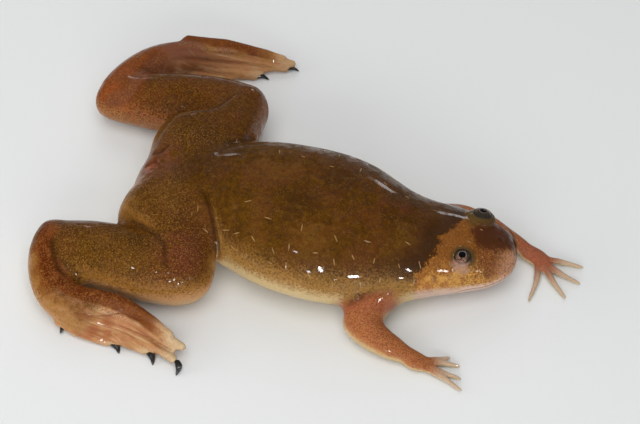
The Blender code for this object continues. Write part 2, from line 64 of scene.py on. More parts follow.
# Stations of the trunk and head: x, y, height of the widest line, half width, rise, drop
BODY = (
    (-20.0, 0.6, 3.3, 3.4, 2.5, 2.7), (-17.5, -0.3, 3.6, 4.5, 3.3, 3.6), (-12.8, -1.4, 4.0, 5.7, 4.4, 4.25),
    (-6.8, -2.1, 4.3, 8.1, 5.4, 4.65), (-1.1, -2.9, 4.4, 9.1, 5.9, 4.8), (4.3, -3.2, 4.3, 8.8, 5.8, 4.65),
    (9.7, -2.8, 3.9, 6.9, 5.0, 4.1), (13.2, -1.9, 3.4, 5.7, 4.1, 3.3), (16.0, -1.2, 3.1, 5.1, 3.5, 2.8),
    (18.6, -0.95, 2.95, 4.2, 2.75, 2.25), (22.0, -1.05, 2.9, 3.3, 1.9, 1.8),
)
BODY_CAPS = (2.0, 3.2)
BODY_SQUARENESS = 0.92

# Stations of the limb parts: x, y, z, half width, half height
THIGHS = {
    "right": (
        (-12.5, -1.0, 4.2, 3.8, 3.6), (-15.0, -5.5, 4.1, 5.3, 4.2), (-14.15, -9.5, 3.85, 5.6, 4.0),
        (-12.2, -12.8, 3.5, 4.3, 3.6), (-11.5, -16.2, 3.1, 2.9, 3.0),
    ),
    "left": (
        (-12.5, -2.0, 4.2, 3.6, 3.6), (-14.7, 2.6, 4.1, 5.3, 4.15), (-13.7, 6.8, 3.9, 5.0, 3.9),
        (-12.6, 10.4, 3.5, 3.5, 3.5), (-11.4, 14.4, 3.1, 2.6, 2.9),
    ),
}
SHANKS = {
    "right": (
        (-10.0, -13.4, 3.2, 2.8, 3.0), (-15.0, -12.9, 3.4, 3.7, 3.4), (-20.0, -12.5, 3.35, 3.8, 3.4),
        (-24.5, -12.5, 3.0, 3.2, 3.1), (-28.2, -12.7, 2.6, 2.3, 2.5),
    ),
    "left": (
        (-9.8, 12.2, 3.1, 2.5, 2.8), (-14.6, 11.0, 3.3, 3.7, 3.3), (-19.6, 10.4, 3.3, 3.5, 3.3),
        (-24.5, 9.85, 3.0, 2.85, 2.95), (-28.6, 9.65, 2.6, 2.0, 2.4),
    ),
}
TARSI = {
    "right": (
        (-25.9, -9.5, 3.0, 2.1, 2.3), (-26.1, -13.3, 3.0, 2.3, 2.5), (-25.0, -16.4, 2.6, 2.2, 2.3),
        (-22.9, -18.6, 2.3, 2.3, 1.9), (-20.0, -19.3, 2.2, 2.3, 1.4),
    ),
    "left": (
        (-26.8, 7.0, 2.9, 1.9, 2.2), (-26.5, 10.5, 3.0, 2.2, 2.45), (-25.2, 13.8, 2.9, 2.2, 2.4),
        (-22.8, 17.0, 2.6, 2.2, 2.1), (-19.6, 19.0, 2.1, 2.1, 1.5),
    ),
}
INSTEPS = {
    "right": (*TARSI["right"][3:], (-16.8, -19.7, 1.9, 1.5, 0.85), (-13.2, -20.3, 1.55, 0.7, 0.35)),
    "left": (*TARSI["left"][3:], (-16.6, 19.8, 1.7, 1.5, 0.9), (-13.0, 20.6, 1.2, 0.7, 0.35)),
}

# Angle in degrees by which each foot is rolled onto its edge
FOOT_ROLLS = {"right": 38.0, "left": 28.0}
# Stations of the arms and palms, laid out in the same way
UPPER_ARMS = {
    "right": (
        (9.8, -5.0, 3.2, 2.4, 2.2), (9.1, -8.6, 2.8, 2.5, 2.3), (8.3, -11.0, 2.3, 1.95, 2.0),
        (7.0, -13.6, 1.8, 1.5, 1.6),
    ),
    "left": (
        (9.6, 0.6, 3.2, 1.9, 1.9), (12.2, 2.6, 2.7, 2.0, 2.0), (14.4, 4.0, 2.0, 1.8, 1.7),
        (16.9, 4.8, 1.5, 1.5, 1.5),
    ),
}
FOREARMS = {
    "right": (
        (6.0, -11.6, 1.8, 1.45, 1.6), (8.3, -12.9, 1.8, 1.8, 1.75), (11.05, -14.0, 1.4, 1.58, 1.35),
        (15.4, -14.9, 0.85, 0.95, 0.8),
    ),
    "left": (
        (14.2, 4.6, 1.6, 1.4, 1.5), (16.8, 4.3, 1.6, 1.5, 1.5), (20.3, 3.2, 1.4, 1.15, 1.1),
        (24.4, 1.9, 0.9, 0.9, 0.75),
    ),
}
PALMS = {
    "right": (
        (12.8, -14.2, 0.95, 0.95, 0.85), (14.9, -14.85, 0.72, 1.1, 0.7), (16.3, -14.8, 0.5, 0.75, 0.4),
    ),
    "left": ((21.8, 2.7, 0.95, 0.95, 0.8), (24.0, 2.0, 0.68, 1.0, 0.66), (25.0, 1.4, 0.5, 0.72, 0.42)),
}

# Fingers as root, middle and tip
FINGERS = {
    "right": (
        ((15.6, -14.5, 0.7), (16.9, -13.8, 0.5), (18.0, -13.0, 0.3)),
        ((15.6, -14.7, 0.7), (17.5, -14.1, 0.5), (19.3, -13.9, 0.26)),
        ((15.6, -15.1, 0.7), (17.6, -15.3, 0.5), (19.8, -15.4, 0.26)),
        ((15.4, -15.2, 0.7), (17.6, -15.8, 0.5), (20.2, -16.9, 0.26)),
    ),
    "left": (
        ((23.8, 1.8, 0.7), (24.2, -0.6, 0.5), (24.0, -3.6, 0.26)),
        ((24.2, 1.7, 0.7), (26.0, -0.4, 0.5), (27.8, -2.1, 0.26)),
        ((24.4, 1.8, 0.7), (26.5, 0.9, 0.5), (28.9, 0.3, 0.26)),
        ((24.3, 2.2, 0.7), (26.2, 2.5, 0.5), (28.7, 2.6, 0.26)),
    ),
}
FINGER_RADII = (0.42, 0.32, 0.17)
DIGIT_CAPS = (0.2, 0.3)
PALM_CAPS = (0.5, 0.6)
KNUCKLES = ((0.42, 0.07), (0.74, 0.06))
KNUCKLE_SWELL = 0.1

# Hind toes as root, middle and tip, from the inner first toe to the outer fifth
TOES = {
    "right": (
        ((-23.0, -19.9, 1.0), (-19.6, -20.9, 0.7), (-16.5, -21.25, 0.42)),
        ((-22.7, -19.5, 1.8), (-17.6, -20.5, 1.2), (-12.5, -21.35, 0.55)),
        ((-22.4, -19.1, 2.5), (-16.0, -19.7, 2.0), (-9.2, -21.8, 0.75)),
        ((-22.0, -18.6, 3.0), (-15.4, -18.9, 2.7), (-8.6, -20.5, 1.5)),
        ((-21.6, -18.1, 3.5), (-15.9, -18.1, 3.4), (-10.2, -19.9, 2.3)),
    ),
    "left": (
        ((-22.6, 16.7, 1.2), (-19.2, 16.8, 0.75), (-16.8, 17.3, 0.4)),
        ((-22.5, 17.7, 1.9), (-17.3, 18.4, 1.1), (-12.9, 19.3, 0.45)),
        ((-22.3, 18.6, 2.6), (-16.1, 19.8, 1.7), (-9.9, 21.3, 0.55)),
        ((-22.1, 19.3, 3.0), (-15.8, 20.8, 2.2), (-9.2, 21.9, 0.9)),
        ((-21.8, 19.8, 3.0), (-16.3, 21.2, 2.4), (-10.3, 21.9, 1.4)),
    ),
}
TOE_RADII = (0.9, 0.68, 0.42)
WEB_HALF = (0.8, 0.62, 0.34, 0.2)
WEB_NOTCH = 0.06
WEB_SAG = 0.14

# Spur beside the first toe of each foot, as root and tip
SPUR_RADII = (0.5, 0.4, 0.3)
SPURS = {
    "right": ((-22.0, -19.3, 1.1), (-22.6, -20.2, 0.7)),
    "left": ((-21.0, 17.4, 0.9), (-20.4, 16.6, 0.7)),
}

# Claws of the spur and the three inner toes: the way each points, length, root radius
CLAW_WAYS = {
    "right": ((0.35, -0.92, -0.12), (0.78, -0.6, -0.2), (0.6, -0.75, -0.3), (0.25, -0.9, -0.4)),
    "left": ((0.6, -0.75, -0.2), (0.9, -0.3, -0.2), (0.95, 0.15, -0.15), (0.92, 0.3, -0.2)),
}
CLAW_LENGTHS = (1.1, 1.05, 1.2, 1.15)
CLAW_RADIUS = {"right": 0.38, "left": 0.25}
CLAW_SHARE = {"right": 1.0, "left": 0.8}
CLAW_GAP = 0.3
CLAW_ROOT = 0.1
CLAW_BOW = 0.3
CLAW_DROP = 0.12

# Knee and crease planes: a point and the way toward the thigh's own side
KNEES = {"right": ((-12.9, -13.6), (0.92, 0.4)), "left": ((-13.4, 9.3), (0.92, -0.4))}
CREASES = {"right": ((-16.6, -9.2), (0.3, 0.95)), "left": ((-16.5, 6.9), (0.2, -0.98))}

# Limb tubes: stations, rings, points round a ring, end caps, share of the foot's roll at each end
LIMB_TUBES = (
    (THIGHS, 70, 80, (1.0, 2.4), (0.0, 0.0)), (SHANKS, 70, 80, (2.4, 2.4), (0.0, 0.0)),
    (TARSI, 60, 60, (1.5, 0.5), (0.0, 1.0)), (INSTEPS, 50, 50, (0.5, 0.8), (1.0, 1.0)),
    (UPPER_ARMS, 40, 48, (0.8, 1.2), (0.0, 0.0)), (FOREARMS, 50, 48, (1.2, 0.8), (0.0, 0.0)),
)

# How finely other forms are drawn: rings along them, points round them. For the web: rows, columns to a toe
TRUNK_GRID = (170, 150)
PALM_GRID = (30, 32)
DIGIT_GRID = (40, 16)
MOUND_GRID = (40, 64)
WEB_GRID = (70, 16)
EYE_GRID = (60, 72)
LID_GRID = (96, 20)
CLAW_GRID = (30, 24)
STITCH_GRID = (9, 8)

# First and last fraction of its path that the trunk covers, then any other tube; step taken for headings
TRUNK_SPAN = (0.002, 0.998)
TUBE_SPAN = (0.004, 0.996)
HEADING_STEP = 0.004

# Smoothing: coarse grain, how far every point and the joints flow, rounds of the fine pass
COARSE_GRAIN = 0.36
BASE_FLOW = 0.12
JOINT_FLOW = 0.6
FINE_FLOW = 0.5
FINE_ROUNDS = 3
FINE_JOINT_ROUNDS = 14

# Smoothing of the directions that the markings follow
FIELD_FLOW = 0.6
FIELD_ROUNDS = 12

# Where the skin flows smoothly from one part to the next: x, y, z, reach, strength
SOFT_JOINTS = (
    (-14.5, -3.2, 7.2, 3.6, 1.0), (-14.0, 1.2, 7.0, 3.4, 1.0), (-18.0, -1.2, 5.0, 3.0, 1.0),
    (-9.6, 4.2, 5.0, 2.4, 1.0), (9.2, -9.2, 4.0, 2.4, 1.0), (12.4, 3.0, 3.4, 2.0, 1.0),
    (-12.9, -13.2, 5.6, 3.0, 1.0), (-14.6, -11.2, 6.2, 2.2, 0.6), (-17.2, -9.4, 5.4, 2.0, 0.3),
    (-13.4, 9.4, 5.6, 2.6, 0.9), (-15.0, 7.3, 6.2, 2.2, 0.4), (-11.6, -15.4, 3.0, 2.4, 1.0),
    (-11.6, 13.0, 3.0, 2.4, 1.0), (-26.4, -13.2, 3.0, 3.0, 1.0), (-26.6, 10.4, 3.0, 3.0, 1.0),
    (-22.6, -18.8, 2.4, 2.6, 1.0), (-22.6, 17.6, 2.4, 2.6, 1.0), (7.0, -12.4, 2.0, 1.6, 1.0),
    (15.9, 4.6, 1.6, 1.5, 1.0), (14.0, -14.5, 0.9, 1.2, 1.0), (22.9, 2.4, 0.9, 1.2, 1.0),
)

# Folds of the skin in plan: points, depth, half width, lowest height
FOLDS = (
    (((-19.6, -8.0), (-16.6, -9.7), (-14.4, -11.1), (-13.4, -12.1), (-12.9, -13.4), (-12.5, -14.6)),
     0.2, 0.26, 2.4),
    (((-18.7, 6.6), (-16.1, 6.8), (-14.5, 7.3), (-13.9, 8.0), (-13.4, 9.3), (-12.8, 10.9)), 0.22, 0.26, 2.4),
    (((-11.8, -4.5), (-11.0, -5.3), (-9.8, -7.3), (-8.6, -9.4), (-8.0, -10.8)), 0.42, 0.22, 0.6),
    (((-11.4, 2.6), (-10.0, 4.4), (-9.2, 6.4)), 0.25, 0.26, 0.6),
    (((-19.4, -1.6), (-18.2, -0.9), (-17.2, -1.9)), 0.22, 0.3, 4.5),
    (((-19.0, 0.4), (-17.9, 0.2), (-17.1, 1.2)), 0.2, 0.28, 4.5),
    (((-25.6, -12.6), (-25.3, -14.0), (-24.7, -15.2), (-23.7, -16.3), (-22.7, -16.6)), 0.3, 0.3, 2.2),
    (((-24.6, 13.0), (-23.2, 13.2), (-21.0, 13.6), (-18.5, 14.2)), 0.2, 0.3, 3.0),
    (((6.4, -11.0), (8.0, -11.0), (9.6, -10.3), (11.0, -9.4)), 0.16, 0.2, 2.6),
)

# Red stains in plan along the ankles
STAINS = (
    ((-26.8, -11.6), (-26.4, -13.9), (-25.5, -15.7), (-24.3, -17.1), (-22.9, -18.0), (-21.2, -18.3),
     (-19.5, -18.3), (-17.4, -18.0), (-15.6, -17.9), (-13.6, -18.4), (-12.2, -19.1)),
    ((-26.3, 7.7), (-24.7, 8.3), (-23.9, 10.2), (-23.6, 13.6), (-22.9, 15.6)),
)

# Patches of colour: x, y, z, reach
SPOTS = {
    "glow": (
        (-26.2, -12.6, 5.3, 1.3), (-26.6, -14.2, 4.8, 0.9), (-26.8, 9.0, 5.0, 1.9), (-25.6, 11.4, 5.2, 1.4),
        (-24.8, 7.8, 4.2, 1.0), (-22.8, 16.6, 4.4, 1.4), (-20.6, 17.8, 3.9, 1.1), (-18.2, -1.6, 6.4, 1.1),
    ),
    "blush": (
        (-18.6, -21.1, 1.7, 1.0), (-17.0, -21.0, 1.5, 0.8), (-13.0, -19.7, 2.8, 1.1),
        (-17.2, -20.3, 2.6, 0.9), (9.8, -1.6, 8.7, 1.6), (7.4, -2.4, 9.2, 1.2), (-19.5, 16.0, 3.0, 2.0),
        (-21.5, 14.8, 3.8, 1.6),
    ),
    "shade": (
        (-13.0, -1.5, 8.0, 3.4), (-10.5, 1.5, 8.4, 3.0), (2.5, -0.5, 9.8, 2.6), (-1.0, -5.0, 10.0, 2.6),
        (9.5, 0.0, 8.0, 2.6), (6.0, 3.0, 7.6, 2.6), (-14.5, 4.5, 7.6, 3.0),
    ),
    # Golden orange on the limbs' rear and lower edges: partly their own colour, partly a painted glow of
    # light through the thin edges
    "warm": (
        (-22.4, -20.3, 3.2, 1.2), (-21.3, -20.9, 2.2, 1.2), (-23.6, -20.0, 3.0, 1.2),
        (-20.3, -21.1, 2.0, 1.0), (-19.2, -7.4, 5.8, 1.9), (-19.4, -4.6, 5.6, 1.7),
        (-17.1, -16.6, 3.0, 1.8), (-13.8, -16.8, 2.8, 2.0), (-10.6, -16.2, 2.8, 2.0),
        (-8.6, -13.8, 2.6, 1.8), (-8.4, -11.1, 4.0, 1.6), (-20.0, -15.6, 3.0, 1.6),
        (-26.9, -16.0, 4.0, 1.3), (-26.0, -18.2, 3.2, 1.5), (-24.6, -19.9, 2.4, 1.5),
    ),
    "gilt": (
        (-7.5, -7.0, 9.0, 3.4), (-4.5, -10.4, 7.6, 3.0), (10.4, -5.4, 8.4, 2.4), (-4.0, 1.0, 9.4, 4.0),
        (2.0, -8.5, 9.0, 3.4), (-15.6, -6.2, 7.6, 3.0), (-17.5, -13.6, 6.4, 4.0), (-21.0, -14.0, 6.0, 3.0),
        (-18.6, 19.8, 3.2, 1.2), (-15.4, 20.8, 2.6, 1.3), (-12.4, 21.4, 2.0, 1.1),
    ),
    "vent": ((-18.2, -2.0, 6.4, 2.4),),
}

# Grooves that run along the folded feet, in space: points, depth, half width
FOOT_GROOVES = (
    (((-22.3, -20.4, 2.9), (-20.4, -20.4, 3.1), (-18.9, -20.2, 3.0), (-17.4, -19.8, 3.0),
      (-16.0, -19.2, 3.3), (-14.5, -19.2, 3.1), (-13.1, -19.3, 3.0), (-11.8, -19.7, 2.8)), 0.3, 0.24),
    (((-18.4, -20.1, 3.0), (-16.7, -20.2, 2.6), (-14.9, -20.3, 2.3), (-12.7, -20.5, 2.0),
      (-11.2, -20.9, 1.7), (-9.9, -21.1, 1.5), (-9.3, -21.5, 1.1)), 0.28, 0.22),
    (((-19.8, -21.2, 1.6), (-17.5, -21.0, 1.4), (-15.9, -20.9, 1.5)), 0.2, 0.22),
    (((-17.4, -21.0, 1.6), (-15.5, -20.6, 2.0), (-14.1, -20.8, 1.7), (-12.6, -21.2, 1.5)), 0.2, 0.2),
    (((-22.1, 15.7, 4.2), (-20.2, 17.1, 3.5), (-17.2, 18.6, 2.3), (-14.0, 19.8, 1.6), (-10.7, 20.7, 0.8)),
     0.26, 0.24),
    (((-22.8, 16.6, 4.6), (-20.4, 18.2, 3.8), (-17.4, 19.5, 2.9), (-14.4, 20.4, 2.2), (-11.6, 21.2, 1.5)),
     0.24, 0.22),
    (((-20.0, 15.9, 3.0), (-17.6, 17.2, 1.8), (-14.6, 18.3, 1.1)), 0.16, 0.2),
)
DEEPEST_GROOVE = 0.3

# Way that the folded feet face
FOOT_FACE = (0.18, -0.62, 0.77)

# Head: mouth, nostrils and eyes
MOUTH_START = 0.865
MOUTH_FRONT = 0.996
MOUTH_DROP = 12.0
NOSTRIL_PLACE = 0.95
NOSTRIL_SPREAD = 12.0
NOSTRIL_RADIUS = 0.2
MOUND_SIZE = (1.5, 1.15)
MOUND_LEAN = 26.0
MOUND_AHEAD = 0.16
GAZE = {"right": (0.02, -0.16, 0.98), "left": (0.08, 0.30, 0.94)}
LID_OPENING = 56.0
LID_RADII = (0.07, 0.24)
LID_LEAN = (2.0, 9.0)
LID_LIFT = 0.02
LID_FLATNESS = 0.6

# Depths and widths of the mouth and nostrils pressed into the skin, and of their raised rims
MOUTH_PRESS = (0.2, 0.13)
LIP_SWELL = (0.09, 0.34, 0.2)
NOSTRIL_PRESS = (0.3, 0.7)
NOSTRIL_RIM = (0.09, 1.5, 0.12)

# Eye socket: angles from the gaze between which the skin closes in, its reach, depth and inner angle
SOCKET_LEANS = (52.0, 84.0)
SOCKET_REACH = 0.9
SOCKET_DEPTH = 0.22
SOCKET_INNER = 44.0

# Purple red line behind the right arm, and the purple patch on the near knee: place, stretch, reach
ARMPIT = ((6.0, -11.5, 2.8), (8.2, -11.1, 3.3), (10.8, -10.1, 2.8))
KNEE_SPOT = (-11.2, -12.7, 7.0)
KNEE_STRETCH = (1.0, 0.75, 1.0)
KNEE_REACH = 2.6

# Fixed colours: the pupil, and the brown worn streaks of the claws
PUPIL = (0.002, 0.002, 0.002)
CLAW_WEAR = (0.035, 0.024, 0.018)

# How sharply one part gives way to the next, and how far from its line a toe or finger reaches
PART_EDGE = 6.0
PART_SAMPLES = 60
TOE_REACH = 0.75
FINGER_REACH = 0.9

# Edge of the dark nape against the orange band, as y and the x there
NAPE_EDGE = (
    (-9.5, -8.4, -7.5, -6.1, -5.4, -4.5, -3.8, -3.1, -2.1, -1.0, 0.5, 2.5, 4.5),
    (12.4, 12.7, 12.8, 13.7, 14.0, 14.0, 14.3, 13.8, 14.6, 14.9, 15.7, 15.6, 14.6),
)

# Dark face: its back edge as y and the x there, its side edge as x and the y there
FACE_BACK = ((-3.6, -2.5, -1.9, -1.3, -0.2, 1.5), (18.3, 18.0, 17.7, 17.0, 16.9, 17.2))
FACE_SIDE = ((16.0, 18.0, 19.2, 20.3, 21.4), (-2.6, -2.5, -1.9, -1.1, 0.1))

# Sense organs. Rows on the trunk: first and last fraction, angle from the top, count
STITCH_ROWS = ((0.22, 0.8, 50.0, 14), (0.2, 0.78, 70.0, 13), (0.34, 0.72, 28.0, 6))
STITCH_SEED = 7
STITCH_HALF = 0.055
STITCH_LEAST = 0.008
STITCH_FLATNESS = 0.7
STITCH_NEAR = 1.5

# Arc of them round each eye: count, first and last angle, distance and share of it downward, length
EYE_STITCHES = 5
EYE_STITCH_ARC = (185.0, 335.0)
EYE_STITCH_PLACE = (2.1, -0.25)
EYE_STITCH_LENGTH = 0.4

# Soft lights for the even light: name, place, size, the setting of their power and a share of it
SOFTBOXES = (
    ("overhead_softbox", (20.0, -150.0, 420.0), (420.0, 420.0), "key_power", 1.0),
    ("fill_softbox", (-120.0, 330.0, 330.0), (420.0, 420.0), "fill_power", 1.0),
    ("front_softbox", (60.0, -380.0, 150.0), (420.0, 150.0), "front_power", 1.0),
    ("left_softbox", (-400.0, -120.0, 130.0), (300.0, 150.0), "front_power", 0.7),
)

# Small lights that show only as wet highlights: place, size, share of the power
GLINTS = (
    ((12.0, -360.0, 192.0), (26.0, 84.0), 0.6), ((175.0, -345.0, 96.0), (34.0, 40.0), 0.5),
    ((292.0, -220.0, 168.0), (20.0, 52.0), 0.35), ((100.0, -390.0, 40.0), (16.0, 20.0), 0.15),
    ((-40.0, -385.0, 120.0), (12.0, 30.0), 0.1), ((250.0, -300.0, 40.0), (16.0, 20.0), 0.15),
    ((-95.0, -240.0, 300.0), (9.0, 9.0), 0.03),
)

# Lights behind the frog that show only as highlights along its far edge: place, size, share of the power
RIMS = (((50.0, 405.0, 125.0), (60.0, 44.0), 0.55), ((-205.0, 355.0, 118.0), (30.0, 30.0), 0.1))

# Floor, even light and camera
FLOOR_HALF = 900.0
FLOOR_THICK = 4.0
FLOOR_MOTTLE = 0.96
SKY_COLOUR = (0.96, 0.98, 1.0, 1.0)
CLIP = (0.01, 10.0)
CAMERA_TURN = 16.2
CAMERA_LIFT = 50.0
CAMERA_AWAY = 300.0
CAMERA_AIM = (0.0, 0.0, 3.0)
PIXELS_PER_MM = 9.3
PHOTO_WIDTH = 640
SENSOR_WIDTH = 36.0


def colour_setting(name, text, value):
    """A colour that the user can change."""
    return bpy.props.FloatVectorProperty(
        name=name, description=text, default=value, size=3, min=0.0, max=1.0, subtype="COLOR"
    )


def power_setting(name, text, value):
    """The power of a light, which the user can change."""
    return bpy.props.FloatProperty(name=name, description=text, default=value, min=0.0, unit="POWER")


class FrogSettings(bpy.types.PropertyGroup):
    """Grain, colours and powers of light that the user can change"""

    grain: bpy.props.FloatProperty(
        name="Skin grain", description="Spacing of the skin's points before it is thinned",
        default=0.16 * MM, min=0.1 * MM, max=1.0 * MM, unit="LENGTH", precision=6,
    )
    most_triangles: bpy.props.IntProperty(
        name="Most triangles", description="Triangles that the skin may have", default=190000, min=10000
    )
    blend_rounds: bpy.props.IntProperty(
        name="Blend rounds", description="How far the joints of the limbs are smoothed", default=36, min=0
    )
    wetness: bpy.props.FloatProperty(
        name="Wetness", description="Weight of the clear wet film", default=0.75, min=0.0, max=1.0,
        subtype="FACTOR",
    )
    back: colour_setting("Back", "Olive brown of the back", (0.083, 0.032, 0.002))
    back_red: colour_setting("Reddish back", "Brown of the warmer patches", (0.105, 0.031, 0.005))
    back_dark: colour_setting("Dark back", "Brown of the darker patches", (0.050, 0.018, 0.002))
    back_gold: colour_setting("Golden back", "Olive gold of the lighter patches", (0.142, 0.060, 0.005))
    gold: colour_setting("Gold speckle", "Fine golden dots", (0.25, 0.115, 0.018))
    # Fine dark dots, and the same dark colour as painted shade in the creases and nostrils
    dark_speckle_and_shade: colour_setting("Dark speckle", "Fine dark dots", (0.028, 0.011, 0.003))
    # Golden colours of the turning edges: partly the skin's own, partly a painted glow of light through the
    # thin edges
    ochre_and_edge_glow: colour_setting("Ochre", "Golden tan where the sides turn pale", (0.34, 0.175, 0.045))
    leg_ochre_and_edge_glow: colour_setting("Leg ochre", "Golden orange of the limbs' turning edges", (0.30, 0.13, 0.026))
    flank: colour_setting("Pale side", "Cream of the lower sides and belly", (0.56, 0.41, 0.20))
    leg_pale: colour_setting("Pale leg", "Orange tan of the lower legs and feet", (0.48, 0.25, 0.105))
    purple: colour_setting("Knee", "Purple brown over the near knee", (0.125, 0.028, 0.011))
    ankle: colour_setting("Ankle", "Orange brown of the ankles", (0.18, 0.048, 0.009))
    stain: colour_setting("Red stain", "Dark red along the ankles", (0.092, 0.017, 0.003))
    stain_bright: colour_setting("Bright stain", "Orange red of the ankle bends", (0.27, 0.062, 0.016))
    foot: colour_setting("Foot", "Tan of the soles, webs and toes", (0.44, 0.22, 0.09))
    far_foot: colour_setting("Left foot", "Pinkish brown of the left foot", (0.175, 0.06, 0.030))
    foot_pink: colour_setting("Foot pink", "Pink folds of the feet", (0.42, 0.155, 0.075))
    blush: colour_setting("Blush", "Rusty pink stains of the folded foot", (0.30, 0.085, 0.03))
    foot_tip: colour_setting("Foot tip", "Pale web at the tips of the toes", (0.58, 0.42, 0.24))
    arm: colour_setting("Arm", "Salmon orange of the arms", (0.36, 0.122, 0.046))
    arm_dots: colour_setting("Arm dots", "Brown net of dots on the arms", (0.16, 0.042, 0.012))
    finger: colour_setting("Finger", "Greyish tan of the finger tips", (0.50, 0.355, 0.24))
    palm: colour_setting("Palm", "Dull pink of the left palm", (0.26, 0.066, 0.052))
    armpit: colour_setting("Armpit", "Purple red of the fold behind the arm", (0.24, 0.045, 0.034))
    band: colour_setting("Head band", "Orange tan between the eyes", (0.21, 0.070, 0.012))
    cheek: colour_setting("Cheek", "Yellow tan below and behind the eyes", (0.55, 0.28, 0.066))
    cheek_red: colour_setting("Cheek mottling", "Orange between the yellow of the cheek", (0.36, 0.13, 0.026))
    nape: colour_setting("Nape", "Blackish brown edge behind the head", (0.040, 0.017, 0.006))
    face: colour_setting("Face", "Maroon brown between the eyes and snout", (0.070, 0.023, 0.007))
    snout: colour_setting("Snout", "Red brown of the snout", (0.17, 0.052, 0.018))
    snout_front: colour_setting("Snout front", "Pinkish tan of the front of the snout", (0.50, 0.25, 0.15))
    eye_skin: colour_setting("Eye skin", "Olive brown skin round the eyes", (0.085, 0.052, 0.014))
    lip: colour_setting("Lip", "Pale pink of lips and throat", (0.60, 0.42, 0.33))
    vent: colour_setting("Vent", "Dull pink round the vent", (0.20, 0.058, 0.036))
    iris: colour_setting("Iris", "Bronze pink of the iris", (0.26, 0.13, 0.085))
    eye_ring: colour_setting("Pupil ring", "Thin pale ring round the pupil", (0.34, 0.24, 0.22))
    eye_rim: colour_setting("Eye rim", "Dark brown of the upper eye", (0.030, 0.022, 0.016))
    lid: colour_setting("Lower lid", "Pale film of the lower lid", (0.34, 0.20, 0.15))
    claw: colour_setting("Claw", "Horn of the claws", (0.008, 0.006, 0.006))
    stitch: colour_setting("Stitch", "Pale sense organs in the skin", (0.34, 0.20, 0.065))
    floor: colour_setting("Floor", "Studio floor", (0.775, 0.785, 0.78))
    stitch_length: bpy.props.FloatProperty(
        name="Stitch length", description="Length of one sense organ", default=0.8 * MM, unit="LENGTH",
        precision=6,
    )
    key_power: power_setting("Key light", "Power of the overhead soft light", 1.2)
    fill_power: power_setting("Fill light", "Power of the soft light behind the frog", 0.56)
    side_power: power_setting("Side light", "Power of the small light that makes the wet highlights", 0.9)
    front_power: power_setting("Front light", "Power of the low soft light before the frog", 0.78)
    rim_power: power_setting("Rim light", "Power of the low light behind the frog", 0.1)
    sky: bpy.props.FloatProperty(name="Sky", description="Strength of the even light", default=0.2, min=0.0)


def unit(way):
    """The same direction with a length of one."""
    return np.array(way, float) / np.linalg.norm(way)


def circle(count):
    """Even turns round a full circle."""
    return np.linspace(0.0, 2 * np.pi, count, endpoint=False)


def spokes(turn, one, two):
    """Directions at each turn of a circle that two others span."""
    return np.cos(turn)[:, None] * one + np.sin(turn)[:, None] * two


def above_floor(points):
    """Lifts whatever would pass the floor onto it."""
    points[..., 2] = np.maximum(points[..., 2], 0.0)
    return points


def bell(distance, reach):
    """One at nothing, falling off as a normal curve of that reach."""
    return np.exp(-((distance / reach) ** 2))


def ramp(value, low, high):
    """Smooth rise from nothing at low to one at high."""
    f = np.clip((value - low) / (high - low), 0.0, 1.0)
    return f * f * (3 - 2 * f)


def gap_to(points, spot):
    """Distance of every point from one spot."""
    return np.linalg.norm(points - spot, axis=1)


def carried(rows, where):
    """Values at fractions of a path: a smooth cubic through all the stations, by length along them."""
    rows = np.array(rows, float)
    along = np.r_[0.0, np.cumsum(np.linalg.norm(np.diff(rows[:, :3], axis=0), axis=1))]
    slope = np.gradient(rows, along, axis=0)
    at = np.clip(where, 0.0, 1.0) * along[-1]
    k = np.clip(np.searchsorted(along, at, "right") - 1, 0, len(rows) - 2)
    span = (along[k + 1] - along[k])[:, None]
    f = ((at - along[k]) / span[:, 0])[:, None]
    start = (1 + 2 * f) * (1 - f) ** 2 * rows[k] + f * (1 - f) ** 2 * span * slope[k]
    finish = f * f * (3 - 2 * f) * rows[k + 1] + f * f * (f - 1) * span * slope[k + 1]
    return start + finish, along[-1]


def capped(where, length, caps):
    """Share of the full section: one, with a quarter ellipse down to nothing at each end."""
    share = np.ones_like(where)
    for cap, away in ((caps[0], where * length), (caps[1], (1.0 - where) * length)):
        if cap > 0.0:
            near = np.clip(away / cap, 0.0, 1.0)
            share = share * np.sqrt(np.clip(1.0 - (1.0 - near) ** 2, 0.0, 1.0))
    return share


def headed(rows, where):
    """Directions ahead, sideways and up at each fraction of a path."""
    ahead, behind = (carried(rows, where + step)[0][:, :3] for step in (HEADING_STEP, -HEADING_STEP))
    ahead -= behind
    ahead /= np.linalg.norm(ahead, axis=1)[:, None]
    side = np.cross((0.0, 0.0, 1.0), ahead)
    side /= np.linalg.norm(side, axis=1)[:, None]
    return ahead, side, np.cross(ahead, side)


def spaced(first, last, count):
    """Fractions of a path, closer together toward its two ends: part even, part a cosine."""
    even = np.linspace(0.0, 1.0, count)
    return first + (last - first) * (0.45 * even + 0.55 * (0.5 - 0.5 * np.cos(np.pi * even)))


def walls_between(count, around, rings):
    """Quads from each of the first rings to the one after it; the last of all is followed by the first."""
    i, j = np.meshgrid(np.arange(count), np.arange(around), indexing="ij")
    k, m = (i + 1) % rings, (j + 1) % around
    return np.stack([i * around + j, i * around + m, k * around + m, k * around + j], -1).reshape(-1, 4)


def tube(rings):
    """Closed surface from a stack of rings: quads between rings, a fan to the middle of each end."""
    count, around = rings.shape[:2]
    points = np.vstack([rings.reshape(-1, 3), rings[0].mean(0), rings[-1].mean(0)])
    j = np.arange(around)
    k = (j + 1) % around
    top, first = (count - 1) * around, np.full(around, count * around)
    ends = np.vstack([np.stack([first, k, j], 1), np.stack([first + 1, top + j, top + k], 1)])
    return points, walls_between(count - 1, around, count), ends


